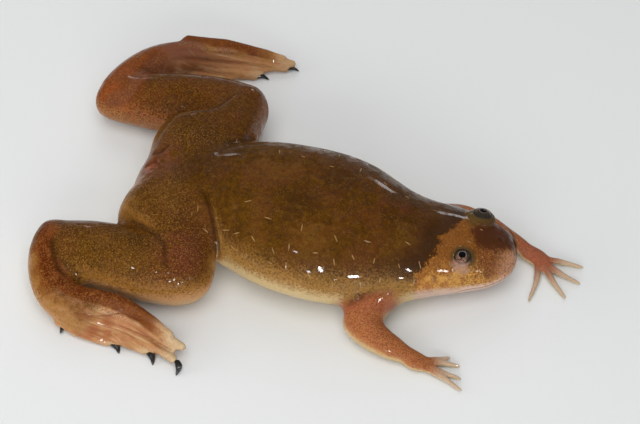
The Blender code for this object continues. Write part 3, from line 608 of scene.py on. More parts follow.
def trunk_points(where, turn):
    """Trunk and head: a rounded section with its own width, rise and drop at each fraction, flat below."""
    values, length = carried(BODY, where)
    share = capped(where, length, BODY_CAPS)[:, None]
    side = headed(BODY, where)[1]
    wide = np.sign(np.cos(turn)) * np.abs(np.cos(turn)) ** BODY_SQUARENESS
    tall = np.sign(np.sin(turn)) * np.abs(np.sin(turn)) ** BODY_SQUARENESS
    high = np.where(tall > 0, values[:, 4:5] * share, values[:, 5:6] * share)
    points = values[:, None, :3] + side[:, None, :] * (values[:, 3:4] * share * wide)[:, :, None]
    points[:, :, 2] += high * tall
    return above_floor(points)


def limb_rings(rows, count, around, caps, roll=(0.0, 0.0)):
    """Rounded tube through the stations, rolled about its path, flat where it would pass the floor."""
    where = spaced(*TUBE_SPAN, count)
    values, length = carried(rows, where)
    share = capped(where, length, caps)
    side, up = headed(rows, where)[1:]
    lean = np.radians(np.linspace(roll[0], roll[1], count))[:, None]
    side, up = side * np.cos(lean) + up * np.sin(lean), up * np.cos(lean) - side * np.sin(lean)
    turn = circle(around)
    half = (values[:, 3] * share)[:, None] * np.cos(turn)
    tall = (values[:, 4] * share)[:, None] * np.sin(turn)
    points = values[:, None, :3] + side[:, None, :] * half[:, :, None] + up[:, None, :] * tall[:, :, None]
    return above_floor(points)


def digit_rings(path, radii):
    """Finger or toe: a thin tube that narrows to its tip, with a slight swelling at its two joints."""
    rows = [tuple(p) + (r, r) for p, r in zip(path, radii)]
    rings = limb_rings(rows, *DIGIT_GRID, DIGIT_CAPS)
    f = np.linspace(0.0, 1.0, len(rings))
    swell = 1.0 + KNUCKLE_SWELL * sum(bell(f - place, reach) for place, reach in KNUCKLES)
    middle = rings.mean(1, keepdims=True)
    return above_floor(middle + (rings - middle) * swell[:, None, None])


def ball_rings(centre, wide, high, way, count, around):
    """Ellipsoid of revolution whose radius high lies along way."""
    pole = unit(way)
    one = unit(np.cross(pole, (1.0, 0.0, 0.0)))
    climb = np.linspace(0.01, np.pi - 0.01, count)[:, None, None]
    ring = spokes(circle(around), one, np.cross(pole, one))
    return np.array(centre) + np.sin(climb) * ring * wide + np.cos(climb) * pole * high


def web_sheet(toes):
    """Webbed foot: a fan between the toe lines, thick along each toe, thin between, closed round its rim."""
    rows, per = WEB_GRID
    across = np.linspace(0.0, 4.0, 4 * per + 1)
    along = np.linspace(0.0, 1.0, rows)
    reach = along[:, None] * (1.0 - WEB_NOTCH * np.sin(np.pi * across) ** 2)
    lines = np.stack([carried(toe, reach.ravel())[0].reshape(rows, len(across), 3) for toe in toes])
    k = np.clip(across.astype(int), 0, 3)
    f = (across - k)[:, None]
    column = np.arange(len(across))
    sheet = lines[k, :, column] * (1 - f)[:, None] + lines[k + 1, :, column] * f[:, None]
    sheet = sheet.transpose(1, 0, 2)
    normal = np.cross(np.gradient(sheet, axis=0), np.gradient(sheet, axis=1))
    normal /= np.linalg.norm(normal, axis=2)[:, :, None]
    radius = np.interp(along, (0.0, 0.5, 1.0), TOE_RADII)[:, None]
    ridge = np.cos(np.pi * np.abs(across - np.round(across))) ** 4
    sag = WEB_SAG * np.sin(np.pi * across * 2.0) ** 2 * np.sin(np.pi * along[:, None]) * (1 - ridge)
    thin = np.interp(along, (0.0, 0.35, 0.75, 1.0), WEB_HALF)[:, None]
    half = (thin + (radius - thin) * ridge)[:, :, None]
    sag = sag[:, :, None]
    both = above_floor(np.stack([sheet + normal * (half - sag), sheet - normal * (half + sag)]))
    wide, size = len(across), rows * len(across)
    i, j = np.meshgrid(np.arange(rows - 1), np.arange(wide - 1), indexing="ij")
    a = (i * wide + j).reshape(-1)
    face = np.stack([a, a + 1, a + wide + 1, a + wide], 1)
    edge = np.arange(rows - 1) * wide
    rims = [np.stack([a, a + wide, a + wide + size, a + size], 1) for a in (edge, edge + wide - 1)]
    edge = np.arange(wide - 1)
    rims += [np.stack([a, a + 1, a + 1 + size, a + size], 1) for a in (edge, edge + (rows - 1) * wide)]
    walls = np.vstack([face, face[:, ::-1] + size] + rims)
    return both.reshape(-1, 3), walls, NO_TRIANGLES


def placed(name, data):
    """An object in the scene with that mesh, light or camera."""
    thing = bpy.data.objects.new(name, data)
    bpy.context.scene.collection.objects.link(thing)
    return thing


def mesh_object(name, shells, scale=MM):
    """One mesh object from closed shells of points, quads and triangles, normals outward, smooth."""
    points, faces, offset = [], [], 0
    for spots, quads, tris in shells:
        points.append(spots)
        faces += (quads + offset).tolist() + (tris + offset).tolist()
        offset += len(spots)
    mesh = bpy.data.meshes.new(name)
    mesh.from_pydata((np.vstack(points) * scale).tolist(), [], faces)
    work = bmesh.new()
    work.from_mesh(mesh)
    bmesh.ops.remove_doubles(work, verts=work.verts, dist=1e-6 * scale / MM)
    bmesh.ops.recalc_face_normals(work, faces=work.faces)
    work.to_mesh(mesh)
    work.free()
    mesh.shade_smooth()
    return placed(name, mesh)


def baked(thing, kind, **values):
    """Applies one modifier to the object's mesh."""
    step = thing.modifiers.new(kind, kind)
    for name, value in values.items():
        setattr(step, name, value)
    view = bpy.context.evaluated_depsgraph_get()
    mesh = bpy.data.meshes.new_from_object(thing.evaluated_get(view))
    thing.modifiers.remove(step)
    thing.data = mesh
    return thing


def read(items, name, width, kind=float):
    """One value of all items of a mesh, such as its points, as the rows of an array."""
    values = np.empty(len(items) * width, kind)
    items.foreach_get(name, values)
    return values.reshape(-1, width)


def read_points(mesh):
    """All points of a mesh."""
    return read(mesh.vertices, "co", 3)


def write_points(mesh, points):
    """Puts an array of points back into a mesh."""
    mesh.vertices.foreach_set("co", points.ravel())
    mesh.update()


def read_normals(mesh):
    """Outward directions at all points of a mesh."""
    return read(mesh.vertex_normals, "vector", 3)


def read_edges(mesh):
    """Point pairs of all edges."""
    return read(mesh.edges, "vertices", 2, int)


def relaxed(values, edges, weight, rounds):
    """Moves every value toward the mean of its neighbours by its weight, round after round."""
    count = len(values)
    ends, others = np.r_[edges[:, 0], edges[:, 1]], np.r_[edges[:, 1], edges[:, 0]]
    share = (weight / np.maximum(np.bincount(ends, minlength=count), 1))[:, None]
    for _ in range(rounds):
        total = np.stack([np.bincount(ends, values[others, n], count) for n in range(values.shape[1])], 1)
        values = values * (1.0 - weight)[:, None] + total * share
    return values


def line_distance(points, line):
    """Distance of every point from a chain of straight stretches, and how far along it is nearest."""
    line = np.array(line, float)
    best, along = np.full(len(points), np.inf), np.zeros(len(points))
    for n, (start, run) in enumerate(zip(line[:-1], np.diff(line, axis=0))):
        f = np.clip((points - start) @ run / (run @ run), 0.0, 1.0)
        gap = np.linalg.norm(points - start - f[:, None] * run, axis=1)
        nearer = gap < best
        best, along = np.where(nearer, gap, best), np.where(nearer, (n + f) / (len(line) - 1), along)
    return best, along


def groove_depths(points, normals, width):
    """For every foot groove: a bell of the distance in the feet's plane, on skin that faces its way."""
    face = unit(FOOT_FACE)
    flat = points - (points @ face)[:, None] * face
    shown = ramp(normals @ face, 0.0, 0.35)
    rows = []
    for line, deep, half in FOOT_GROOVES:
        line = np.array(line)
        gap, along = line_distance(flat, line - (line @ face)[:, None] * face)
        ends = np.sqrt(np.sin(np.pi * np.clip(along, 0.0, 1.0)))
        rows.append(deep * bell(gap, half * width) * ends * shown)
    return np.array(rows)


def eye_place(side):
    """Centre and radius of an eye, from its solid."""
    low, high = (np.array(corner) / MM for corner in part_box("eye_" + side))
    return (low + high) / 2, (high[1] - low[1]) / 2


def sign(side):
    """Plus one for the left side, minus one for the right."""
    return 1.0 if side == "left" else -1.0


def mouth_line(count=40):
    """Jaw edge from the right corner of the mouth round the snout to the left."""
    where = MOUTH_START + (MOUTH_FRONT - MOUTH_START) * np.sin(np.linspace(0.0, np.pi / 2, count))
    drop = np.radians(MOUTH_DROP)
    right, left = (trunk_points(where, np.array([turn]))[:, 0] for turn in (np.pi + drop, -drop))
    return np.vstack([right, left[::-1]])


def nostrils():
    """Places of the two nostrils on top of the snout."""
    spread = np.radians(90.0 + np.array((-NOSTRIL_SPREAD, NOSTRIL_SPREAD)))
    return trunk_points(np.array([NOSTRIL_PLACE]), spread)[0]


def fold_clear(points, side):
    """Pushes what lies in the wedge behind the knee out to the nearer of its two upright planes."""
    depths, ways = [], []
    for place, way in (KNEES[side], CREASES[side]):
        way = unit(way)
        depths.append((points[..., :2] - np.array(place)) @ way)
        ways.append(way)
    inside = (depths[0] < 0) & (depths[1] < 0)
    to_knee = depths[0] > depths[1]
    push = [-depth[..., None] * way for depth, way in zip(depths, ways)]
    push = np.where(to_knee[..., None], *push)
    points[..., :2] += np.where(inside[..., None], push, 0.0)
    return points


def body_shells():
    """Trunk and limbs as overlapping closed tubes."""
    rings, around = TRUNK_GRID
    shells = [tube(trunk_points(spaced(*TRUNK_SPAN, rings), circle(around)))]
    for side in SIDES:
        for table, count, around, caps, roll in LIMB_TUBES:
            rings = limb_rings(table[side], count, around, caps, np.multiply(roll, FOOT_ROLLS[side]))
            shells.append(tube(fold_clear(rings, side) if table is THIGHS else rings))
    return shells


def fine_shells():
    """Webs, toes, palms, fingers and the mounds of the eyes."""
    shells = []
    for side in SIDES:
        shells.append(web_sheet(TOES[side]))
        for toe in TOES[side]:
            shells.append(tube(digit_rings(toe, TOE_RADII)))
        root, tip = SPURS[side]
        shells.append(tube(digit_rings((root, np.mean(SPURS[side], axis=0), tip), SPUR_RADII)))
        shells.append(tube(limb_rings(PALMS[side], *PALM_GRID, PALM_CAPS)))
        for finger in FINGERS[side]:
            shells.append(tube(digit_rings(finger, FINGER_RADII)))
        lean = np.radians(MOUND_LEAN)
        way = (MOUND_AHEAD, sign(side) * np.sin(lean), np.cos(lean))
        shells.append(tube(ball_rings(eye_place(side)[0], *MOUND_SIZE, way, *MOUND_GRID)))
    return shells


def joint_weight(points):
    """How freely the skin may flow at each point: one at the soft joints, nothing away from them."""
    weight = np.zeros(len(points))
    for x, y, z, reach, strength in SOFT_JOINTS:
        weight = np.maximum(weight, strength * bell(gap_to(points, (x, y, z)), reach))
    return weight


def raised(height, lowest):
    """Smooth rise from nothing just under a height to one just above it."""
    return ramp(height, lowest - 0.6, lowest + 0.4)


def draw_folds(points, normals):
    """Presses folds, foot grooves, mouth and nostrils into the skin, and draws it in round each eye."""
    depth = np.zeros(len(points))
    for line, deep, half, lowest in FOLDS:
        gap, along = line_distance(points[:, :2], line)
        ends = ramp(along, 0.0, 0.25) * ramp(-along, -1.0, -0.9)
        depth += deep * bell(gap, half) * ends * raised(points[:, 2], lowest)
    depth += groove_depths(points, normals, 1.0).max(0)
    gap = line_distance(points, mouth_line())[0]
    (press, wide), (swell, away, soft) = MOUTH_PRESS, LIP_SWELL
    depth += press * bell(gap, wide) - swell * bell(gap - away, soft)
    (press, wide), (swell, away, soft) = NOSTRIL_PRESS, NOSTRIL_RIM
    for spot in nostrils():
        gap = gap_to(points, spot)
        depth += press * bell(gap, NOSTRIL_RADIUS * wide) - swell * bell(gap - NOSTRIL_RADIUS * away, soft)
    points = points - normals * depth[:, None]
    for side in SIDES:
        centre, radius = eye_place(side)
        away = points - centre
        gap = np.linalg.norm(away, axis=1)
        lean = np.degrees(np.arccos(np.clip(away @ unit(GAZE[side]) / np.maximum(gap, 1e-6), -1.0, 1.0)))
        inside = (lean < SOCKET_LEANS[1]) & (gap < radius + SOCKET_REACH)
        close = radius + (gap - radius) * ramp(lean, *SOCKET_LEANS)
        close -= SOCKET_DEPTH * ramp(-lean, -LID_OPENING - LID_LEAN[0], -SOCKET_INNER)
        points[inside] = centre + away[inside] * (close / gap)[inside, None]
    return above_floor(points)


def part_weights(points):
    """Which part of the animal each point belongs to: the nearest limb path by its own thickness."""
    groups = {
        "leg": (THIGHS, SHANKS), "ankle": (TARSI,), "foot": (INSTEPS,), "arm": (UPPER_ARMS, FOREARMS, PALMS),
    }
    paths = [("trunk", BODY)]
    paths += [(name, table[side]) for name, tables in groups.items() for table in tables for side in SIDES]
    scores = {name: np.full(len(points), np.inf) for name in ("trunk", *groups)}
    for name, rows in paths:
        for row in carried(rows, np.linspace(0.0, 1.0, PART_SAMPLES))[0]:
            scores[name] = np.minimum(scores[name], gap_to(points, row[:3]) / row[3])
    for side in SIDES:
        digits = [(path, "arm", 0.5) for path in FINGERS[side]] + [(path, "foot", 1.0) for path in TOES[side]]
        for path, name, reach in digits:
            scores[name] = np.minimum(scores[name], line_distance(points, path)[0] / reach)
    stack = np.stack(list(scores.values()))
    share = np.exp(-PART_EDGE * (stack - stack.min(0)))
    share /= share.sum(0)
    return dict(zip(scores, share))


def toe_fields(points):
    """Place across the foot, from 0 at the inner toe to 4 at the outer, and share of the way to the tips."""
    best, across, reach = np.full(len(points), np.inf), np.zeros(len(points)), np.zeros(len(points))
    for side in SIDES:
        gaps, alongs = zip(*(line_distance(points, toe) for toe in TOES[side]))
        gaps, alongs = np.array(gaps), np.array(alongs)
        share = bell(gaps, TOE_REACH) + 1e-9 / (1.0 + gaps)
        share /= share.sum(0)
        nearer = gaps.min(0) < best
        best = np.minimum(best, gaps.min(0))
        across = np.where(nearer, (share * np.arange(5.0)[:, None]).sum(0), across)
        reach = np.where(nearer, (share * alongs).sum(0), reach)
    return across, reach


def finger_field(points):
    """Share of the way from the root of the nearest finger to its tip, nothing away from the fingers."""
    field = np.zeros(len(points))
    for side in SIDES:
        for finger in FINGERS[side]:
            gap, along = line_distance(points, finger)
            field = np.maximum(field, along * (gap < FINGER_REACH))
    return field


def write_fields(mesh, fields):
    """Stores named values at all points of a mesh, for its finish to read."""
    for name, values in fields.items():
        layer = mesh.attributes.new(name, "FLOAT", "POINT")
        layer.data.foreach_set("value", values.astype(np.float32))


def skin_marks(points, normals, edges):
    """Named fields that the skin's finish reads, each a value at every point."""
    x, y, z = points.T
    smooth = relaxed(normals, edges, np.full(len(points), FIELD_FLOW), FIELD_ROUNDS)
    parts = part_weights(points)
    marks = {name: parts[name] for name in ("leg", "ankle", "foot", "arm")}
    marks["lift"] = smooth[:, 2] / np.maximum(np.linalg.norm(smooth, axis=1), 1e-6)
    marks["nape"] = np.interp(y, *NAPE_EDGE) - x
    marks["face"] = np.minimum(x - np.interp(y, *FACE_BACK), y - np.interp(x, *FACE_SIDE))
    marks["stain"] = np.max([bell(line_distance(points[:, :2], line)[0], 1.0) for line in STAINS], axis=0)
    marks["stain"] *= ramp(z, 1.0, 2.6) * ramp(-x, 10.0, 22.0) ** 0.3
    marks["armpit"] = bell(line_distance(points, ARMPIT)[0], 1.0)
    marks["toe"], marks["reach"] = toe_fields(points)
    marks["finger"] = finger_field(points)
    marks["knee"] = bell(np.linalg.norm((points - KNEE_SPOT) * KNEE_STRETCH, axis=1), KNEE_REACH)
    # Height above the jaw edge, for the painted shade along the mouth slit
    jaw = mouth_line()[::4]
    marks["mouth"] = z - jaw[np.argmin(((points[:, None, :2] - jaw[:, :2]) ** 2).sum(2), axis=1), 2]
    # Distance from the nearer nostril, for the painted shade in its pit
    marks["nostril"] = np.min([gap_to(points, spot) for spot in nostrils()], axis=0)
    marks["eye"] = np.min([gap_to(points, eye_place(side)[0]) for side in SIDES], axis=0)
    marks["below_eye"] = np.where(y > -1.5, y - eye_place("left")[0][1], eye_place("right")[0][1] - y)
    # Painted shade along the folds: how dark each fold's hollow is painted
    crease = np.zeros(len(points))
    for line, _, half, lowest in FOLDS[:-1]:
        gap, along = line_distance(points[:, :2], line)
        dark = bell(gap, half * 0.9) * np.sin(np.pi * along) ** 0.4
        crease = np.maximum(crease, dark * raised(z, lowest))
    marks["crease"] = crease
    # Depth of the foot grooves, which the finish paints as shade
    marks["groove"] = groove_depths(points, smooth, 0.5).max(0) / DEEPEST_GROOVE
    for name, spots in SPOTS.items():
        marks[name] = np.max([bell(gap_to(points, spot), reach) for *spot, reach in spots], axis=0)
    return marks


def make_skin(settings):
    """The skin: coarse tubes fused and smoothed at the joints, then fused finely with feet and hands."""
    grain = settings.grain / MM * 1.0
    coarse = mesh_object("skin_coarse", body_shells(), 1.0)
    baked(coarse, "REMESH", mode="VOXEL", voxel_size=COARSE_GRAIN)
    points, edges = read_points(coarse.data), read_edges(coarse.data)
    points = relaxed(points, edges, BASE_FLOW + JOINT_FLOW * joint_weight(points), settings.blend_rounds)
    quads = read(coarse.data.polygons, "vertices", 4, np.int32)
    skin = mesh_object("skin", [(points, quads, NO_TRIANGLES)] + fine_shells(), 1.0)
    bpy.data.objects.remove(coarse, do_unlink=True)
    baked(skin, "REMESH", mode="VOXEL", voxel_size=grain)
    points, edges = read_points(skin.data), read_edges(skin.data)
    points = relaxed(points, edges, np.full(len(points), FINE_FLOW), FINE_ROUNDS)
    points = relaxed(points, edges, JOINT_FLOW * joint_weight(points), FINE_JOINT_ROUNDS)
    write_points(skin.data, points)
    write_points(skin.data, draw_folds(points, read_normals(skin.data)))
    share = settings.most_triangles / (2.0 * len(skin.data.polygons))
    if share < 1.0:
        baked(skin, "DECIMATE", decimate_type="COLLAPSE", ratio=share, use_collapse_triangulate=True)
    points = read_points(skin.data)
    write_fields(skin.data, skin_marks(points, read_normals(skin.data), read_edges(skin.data)))
    write_points(skin.data, points * MM)
    skin.data.shade_smooth()
    return skin


class Field:
    """A shader socket that can be added, multiplied and so on: each sign adds its Math node."""

    def __init__(self, finish, socket):
        self.finish, self.socket = finish, socket

    def _with(self, operation, first, second):
        return self.finish.add("ShaderNodeMath", {"operation": operation}, {0: first, 1: second})

    def __add__(self, other):
        return self._with("ADD", self, other)

    def __sub__(self, other):
        return self._with("SUBTRACT", self, other)

    def __mul__(self, other):
        return self._with("MULTIPLY", self, other)

    def __rsub__(self, other):
        return self._with("SUBTRACT", other, self)

    __radd__, __rmul__ = __add__, __mul__


class Finish:
    """Node tree of one material."""

    def __init__(self, name):
        self.material = bpy.data.materials.new(name)
        self.material.use_nodes = True
        self.tree = self.material.node_tree
        self.surface = self.tree.nodes["Principled BSDF"]

    def add(self, kind, settings=None, inputs=None, out=0):
        """A node of that type, its settings first, then the values or links of its sockets."""
        node = self.tree.nodes.new(kind)
        for name, value in (settings or {}).items():
            setattr(node, name, value)
        for name, value in (inputs or {}).items():
            self.put(node.inputs[name], value)
        return Field(self, node.outputs[out])

    def put(self, socket, value):
        """Links a field to a socket, or sets a plain number or colour on it."""
        if isinstance(value, Field):
            self.tree.links.new(value.socket, socket)
        elif socket.type == "RGBA":
            socket.default_value = (*value, 1.0)
        else:
            socket.default_value = value

    def place(self, scale=1.0):
        """Object coordinates in millimetres, times a scale."""
        spot = self.add("ShaderNodeTexCoord", None, None, "Object")
        return self.add("ShaderNodeVectorMath", {"operation": "SCALE"}, {0: spot, "Scale": scale / MM})

    def clouds(self, spot, detail, rough):
        """Soft random field between nothing and one on any coordinates."""
        inputs = {"Vector": spot, "Scale": 1.0, "Detail": detail, "Roughness": rough}
        return self.add("ShaderNodeTexNoise", None, inputs, "Fac")

    def noise(self, scale, detail=2.0, rough=0.5):
        """Soft random field, scale waves to the millimetre."""
        return self.clouds(self.place(scale), detail, rough)

    def streaks(self, across, along, detail, rough):
        """Soft random field on two fields as its coordinates, drawn out along the slower one."""
        spot = self.add("ShaderNodeCombineXYZ", None, {0: across, 1: along})
        return self.clouds(spot, detail, rough)

    def axis(self, n):
        """Object x, y or z in millimetres."""
        return self.add("ShaderNodeSeparateXYZ", None, {0: self.place()}, n)

    def stripe(self, value, middle, half):
        """One where a value is at the middle of a stripe, falling to nothing at its two edges."""
        away = self.add("ShaderNodeMath", {"operation": "ABSOLUTE"}, {0: value - middle})
        return self.rise(away, half, half * 0.3)

    def cells(self, scale):
        """Distance to the nearest of scattered points, scale of them to the millimetre."""
        return self.add("ShaderNodeTexVoronoi", None, {"Vector": self.place(scale), "Scale": 1.0}, "Distance")

    def mark(self, name):
        """A named field of the mesh."""
        return self.add("ShaderNodeAttribute", {"attribute_name": name}, None, "Fac")

    def rise(self, value, low, high):
        """Smooth rise from nothing at low to one at high."""
        return self.add("ShaderNodeMapRange", {"interpolation_type": "SMOOTHSTEP"}, {
            "Value": value, "From Min": low, "From Max": high})

    def mix(self, share, first, second):
        """Two colours mixed by a share."""
        return self.add("ShaderNodeMix", {"data_type": "RGBA"}, {"Factor": share, 6: first, 7: second}, 2)

    def layers(self, colour, *above):
        """A colour with others laid over it in turn, each by its share."""
        for share, other in above:
            colour = self.mix(share, colour, other)
        return colour

    def bump(self, height, deep, below=None):
        """Surface direction bent by a height field that is so many millimetres deep."""
        inputs = {"Height": height, "Distance": deep * MM, "Strength": 1.0}
        if below is not None:
            inputs["Normal"] = below
        return self.add("ShaderNodeBump", None, inputs)

    def feed(self, **sockets):
        """Values, colours or fields for the sockets of the surface shader."""
        for name, value in sockets.items():
            self.put(self.surface.inputs[name.replace("_", " ")], value)
        return self.material


def skin_finish(settings):
    """Wet speckled skin: the markings are fields of the mesh, their edges and dots are noise."""
    f, s = Finish("wet speckled skin"), settings
    mark, mix, rise = f.mark, f.mix, f.rise
    cloud, blotch, mottle = f.noise(0.09, 2.0), f.noise(0.3, 3.0), f.noise(1.0, 3.0, 0.6)
    fleck, dots, specks = f.noise(4.4, 3.0, 0.65), f.noise(5.6, 3.0, 0.75), f.noise(4.4, 3.0, 0.8)
    grit, weave = f.noise(2.1, 4.0, 0.75), f.noise(1.5, 4.0, 0.7)
    patchy, mottled, flecked, dotted = (noise - 0.5 for noise in (blotch, mottle, fleck, dots))
    lift, leg, arm, foot, ankle = (mark(n) for n in ("lift", "leg", "arm", "foot", "ankle"))
    glow, blush, gilt, stained = (mark(n) for n in ("glow", "blush", "gilt", "stain"))
    along, side = f.axis(0), f.axis(1)
    limb = rise(leg + ankle + foot, 0.2, 0.8)
    far = rise(side, 2.6, 5.6)
    heat = mark("warm") + mottled * 1.4 + flecked * 1.0

    # Back, sides and legs
    patch = gilt * 0.75 + patchy * 1.8 + mottled * 1.6 + flecked * 0.7
    dim = mark("shade") + patchy * 1.2 + mottled * 0.8
    turn = lift + mottled * 0.35 + flecked * 0.9
    rich = limb * 0.4 + 0.25 * rise(mottle, 0.4, 0.65)
    sparks = rise(f.cells(4.6) + mottled * 0.5, 0.34, 0.2)
    pale = rise(lift + mottled * 0.2 + flecked * 0.6, 0.24, -0.16)
    belly = rise(lift + flecked * 0.3, -0.1, -0.4)
    trunk = f.layers(
        mix(rise(blotch + cloud * 0.5 + mottled * 0.4, 0.6, 0.84), s.back, s.back_red),
        (rise(cloud + mottled * 0.3, 0.5, 0.66) * 0.7, s.back_dark),
        (rise(mottle + flecked * 0.4, 0.48, 0.66) * 0.35, s.back_dark),
        (rise(patch, 0.2, 1.0) * 0.6, s.back_gold),
        (rise(dim, 0.15, 0.9) * 0.75, s.back_dark),
        (rise(weave, 0.52, 0.64) * 0.45, s.back_gold),
        (rise(weave + patchy * 0.3, 0.47, 0.36) * 0.5, s.nape),
        (rise(grit, 0.5, 0.68) * 0.6, s.back_dark),
        (rise(grit + flecked * 0.3, 0.46, 0.3) * 0.4, s.back_gold),
        (mark("knee") * rise(mottle, 0.2, 0.55), s.purple),
        (rise(ankle + mottled * 0.7, 0.2, 0.7), s.ankle),
        (mark("vent") * rise(mottle, 0.3, 0.65), s.vent),
        (rise(stained + mottled * 0.5, 0.15, 0.7) * 0.9, s.stain),
        (far * rise(along + mottled * 4.0, -20.5, -27.0) * 0.4, s.stain_bright),
        (rise(glow + mottled * 0.8 + flecked * 0.5, 0.2, 0.95) * 0.8, s.stain_bright),
        (rise(blush + mottled * 1.2 + flecked * 0.5, 0.4, 1.1) * 0.5, s.purple),
        # Golden ochre where the sides turn down, and pale ankle rims: partly the skin's own colour, partly a
        # painted glow of light through the thin edges
        (rise(turn, 0.74, 0.16) * 0.85, mix(limb, s.ochre_and_edge_glow, mix(far * 0.7, s.leg_ochre_and_edge_glow, s.blush))),
        (rise(ankle, 0.2, 0.6) * rise(turn, 0.62, 0.1) * (0.85 - far * 0.6), s.leg_pale),
        # Golden orange patches on the limbs' edges: partly the skin's own colour, partly painted glow
        (rise(heat, 0.2, 1.0) * 0.9, mix(rise(heat, 0.7, 1.3), s.leg_ochre_and_edge_glow, s.leg_pale)),
        (rise(dots, 0.5, 0.66) * (0.15 + rich), s.gold),
        (rise(specks, 0.5, 0.66) * (0.35 + limb * 0.35), s.dark_speckle_and_shade),
        (sparks * limb * (0.45 - far * 0.28), s.ochre_and_edge_glow),
        (far * limb * rise(fleck + dotted * 0.6, 0.48, 0.6) * 0.5, s.stain),
        (far * limb * rise(grit + dotted * 0.5, 0.54, 0.64) * 0.28, s.gold),
        (pale * (1.0 - far * limb * 0.8), mix(limb, s.flank, s.leg_pale)),
        (belly * (1.0 - limb * 0.6 - far * limb * 0.3), s.flank),
    )

    # Arms and hands
    net = rise(f.noise(6.2, 2.0, 0.7), 0.48, 0.58) * 0.75 * rise(lift, 0.1, 0.7)
    palm = rise(along + mottled * 1.5, 20.4, 22.4)
    arms = f.layers(
        mix(net, s.arm, s.arm_dots),
        (rise(dots, 0.52, 0.66) * 0.45, s.cheek),
        (rise(lift + flecked * 0.5 + mottled * 0.3, 0.62, 0.2) * 0.5, s.foot),
        (palm * (0.45 + flecked * 0.5), s.palm),
        (rise(mark("finger") + flecked * 0.3, 0.1, 0.7), s.finger),
        (rise(lift + flecked * 0.5, 0.36, -0.02) * 0.85, s.flank),
    )

    # Feet, with streaks along the soles, a granular red edge and painted shade in the grooves
    edge = rise(stained + mottled * 0.4 + flecked * 0.7, 0.36, 0.86) * rise(lift, 0.1, 0.5)
    toe, reach = mark("toe") + mottled * 0.35 + patchy * 0.5, mark("reach")
    dull = rise(reach + patchy * 0.4 + mottled * 0.4, 0.8, 0.05) * (0.6 + 0.35 * rise(toe, 0.4, 1.8))
    across = mark("toe") * (2.0 + 1.4 * rise(reach, 0.0, 0.3)) + mottled * 0.4 + far * 9.0
    streaks = f.streaks(across, reach * 1.5 + along * 0.06, 3.0, 0.65)
    clear = rise(reach, 0.04, 0.2)
    dark_streaks = rise(streaks + mottled * 0.15, 0.5, 0.62) * clear
    pale_streaks = rise(streaks + flecked * 0.1, 0.46, 0.36) * clear
    band = rise(toe + (reach - 0.5) * 0.4, 3.02, 3.42) * rise(reach + flecked * 0.3, 0.92, 0.66)
    strip = f.stripe(toe, 2.9, 0.4) * rise(reach, 0.62, 0.4)
    # Painted shade in the foot grooves, broken by mottling
    groove = rise(mark("groove"), 0.3, 0.9) * rise(mottle, 0.25, 0.5)
    feet = f.layers(
        mix(rise(mottle + patchy * 0.6, 0.44, 0.64) * 0.5, s.foot, s.foot_pink),
        (rise(reach + mottled * 0.4, 0.45, 0.1) * rise(dots, 0.4, 0.6) * 0.55, s.leg_pale),
        (far * dull, s.far_foot),
        (dark_streaks * (0.5 - far * 0.15), mix(mottle, s.arm_dots, s.blush)),
        (pale_streaks * (0.5 - far * 0.2), s.foot_tip),
        (far * rise(gilt + mottled * 0.6, 0.3, 0.9) * 0.7, s.leg_ochre_and_edge_glow),
        (rise(blush + mottled * 0.5, 0.35, 0.95) * 0.7, mix(far, s.blush, s.arm_dots)),
        (band * 0.92, mix(rise(fleck + mottled * 0.5, 0.36, 0.6), s.ankle, s.stain)),
        (band * rise(dots, 0.5, 0.62) * 0.5, s.gold),
        (rise(dots, 0.44, 0.58) * (0.6 - far * 0.45) * strip, s.foot_tip),
        (rise(specks, 0.46, 0.6) * 0.6 * (strip + band) * rise(lift, 0.0, 0.6), s.arm_dots),
        # The same golden patches on the feet: partly the skin's own colour, partly painted glow
        (rise(heat, 0.2, 1.0) * (1.0 - edge) * 0.6, s.leg_pale),
        (rise(reach + flecked * 0.2, 0.8, 1.0) * (1.0 - far * 0.5), s.foot_tip),
        # Painted shade in the foot grooves, in the brown of the arm dots
        (groove * (0.65 - far * 0.2), s.arm_dots),
        (rise(lift + flecked * 0.4, 0.2, -0.15) * 0.8, s.leg_pale),
    )
    heel = far * ankle * rise(along + mottled * 3.0, -24.6, -22.0)
    ridge = mix(rise(mottle + fleck * 0.5, 0.7, 0.9), s.stain, s.ankle)

    # Head in front of the nape
    face_side = mark("face")
    nape = mark("nape") + patchy * 0.8 + mottled * 1.8 + flecked * 1.0
    ahead = rise(nape, 0.1, -0.15) * rise(arm, 0.5, 0.2)
    behind = rise(nape, 0.0, 0.25) * rise(nape, 3.6, 0.7) * rise(lift, 0.3, 0.7) * (1.0 - arm)
    low = rise(lift + mottled * 0.7 + flecked * 0.6, 0.86, 0.3)
    red = rise(mottle + flecked * 0.6 + rise(along, 16.5, 12.0) * 0.18, 0.4, 0.7)
    snout = rise(along + mottled * 1.6 - low * 0.8, 17.4, 19.0)
    front = rise(along + flecked * 0.8 + mottled, 19.6, 21.6)
    face = rise(face_side + mottled * 2.0 + flecked * 1.4, -0.6, 0.55)
    spark = 0.3 + 0.25 * rise(along + low * 2.0, 17.5, 19.0)
    lip = mix(rise(along + mottled * 2.0, 9.5, 13.5), s.flank, s.lip)
    head = f.layers(
        mix(low, s.band, mix(red, s.cheek, s.cheek_red)),
        (snout * rise(lift, 0.1, 0.5) * 0.9, s.snout),
        (front * rise(face_side, 0.2, -1.0), s.snout_front),
        (face, mix(rise(mottle + flecked * 0.6, 0.4, 0.66) * 0.7, s.face, s.stain)),
        (rise(specks, 0.46, 0.62) * (0.2 + 0.5 * rise(along, 15.0, 18.5)), s.face),
        (rise(dots, 0.5, 0.66) * spark * (1.0 - face), s.cheek),
        (rise(lift + flecked * 0.35 + mottled * 0.2, 0.2, -0.15), lip),
    )
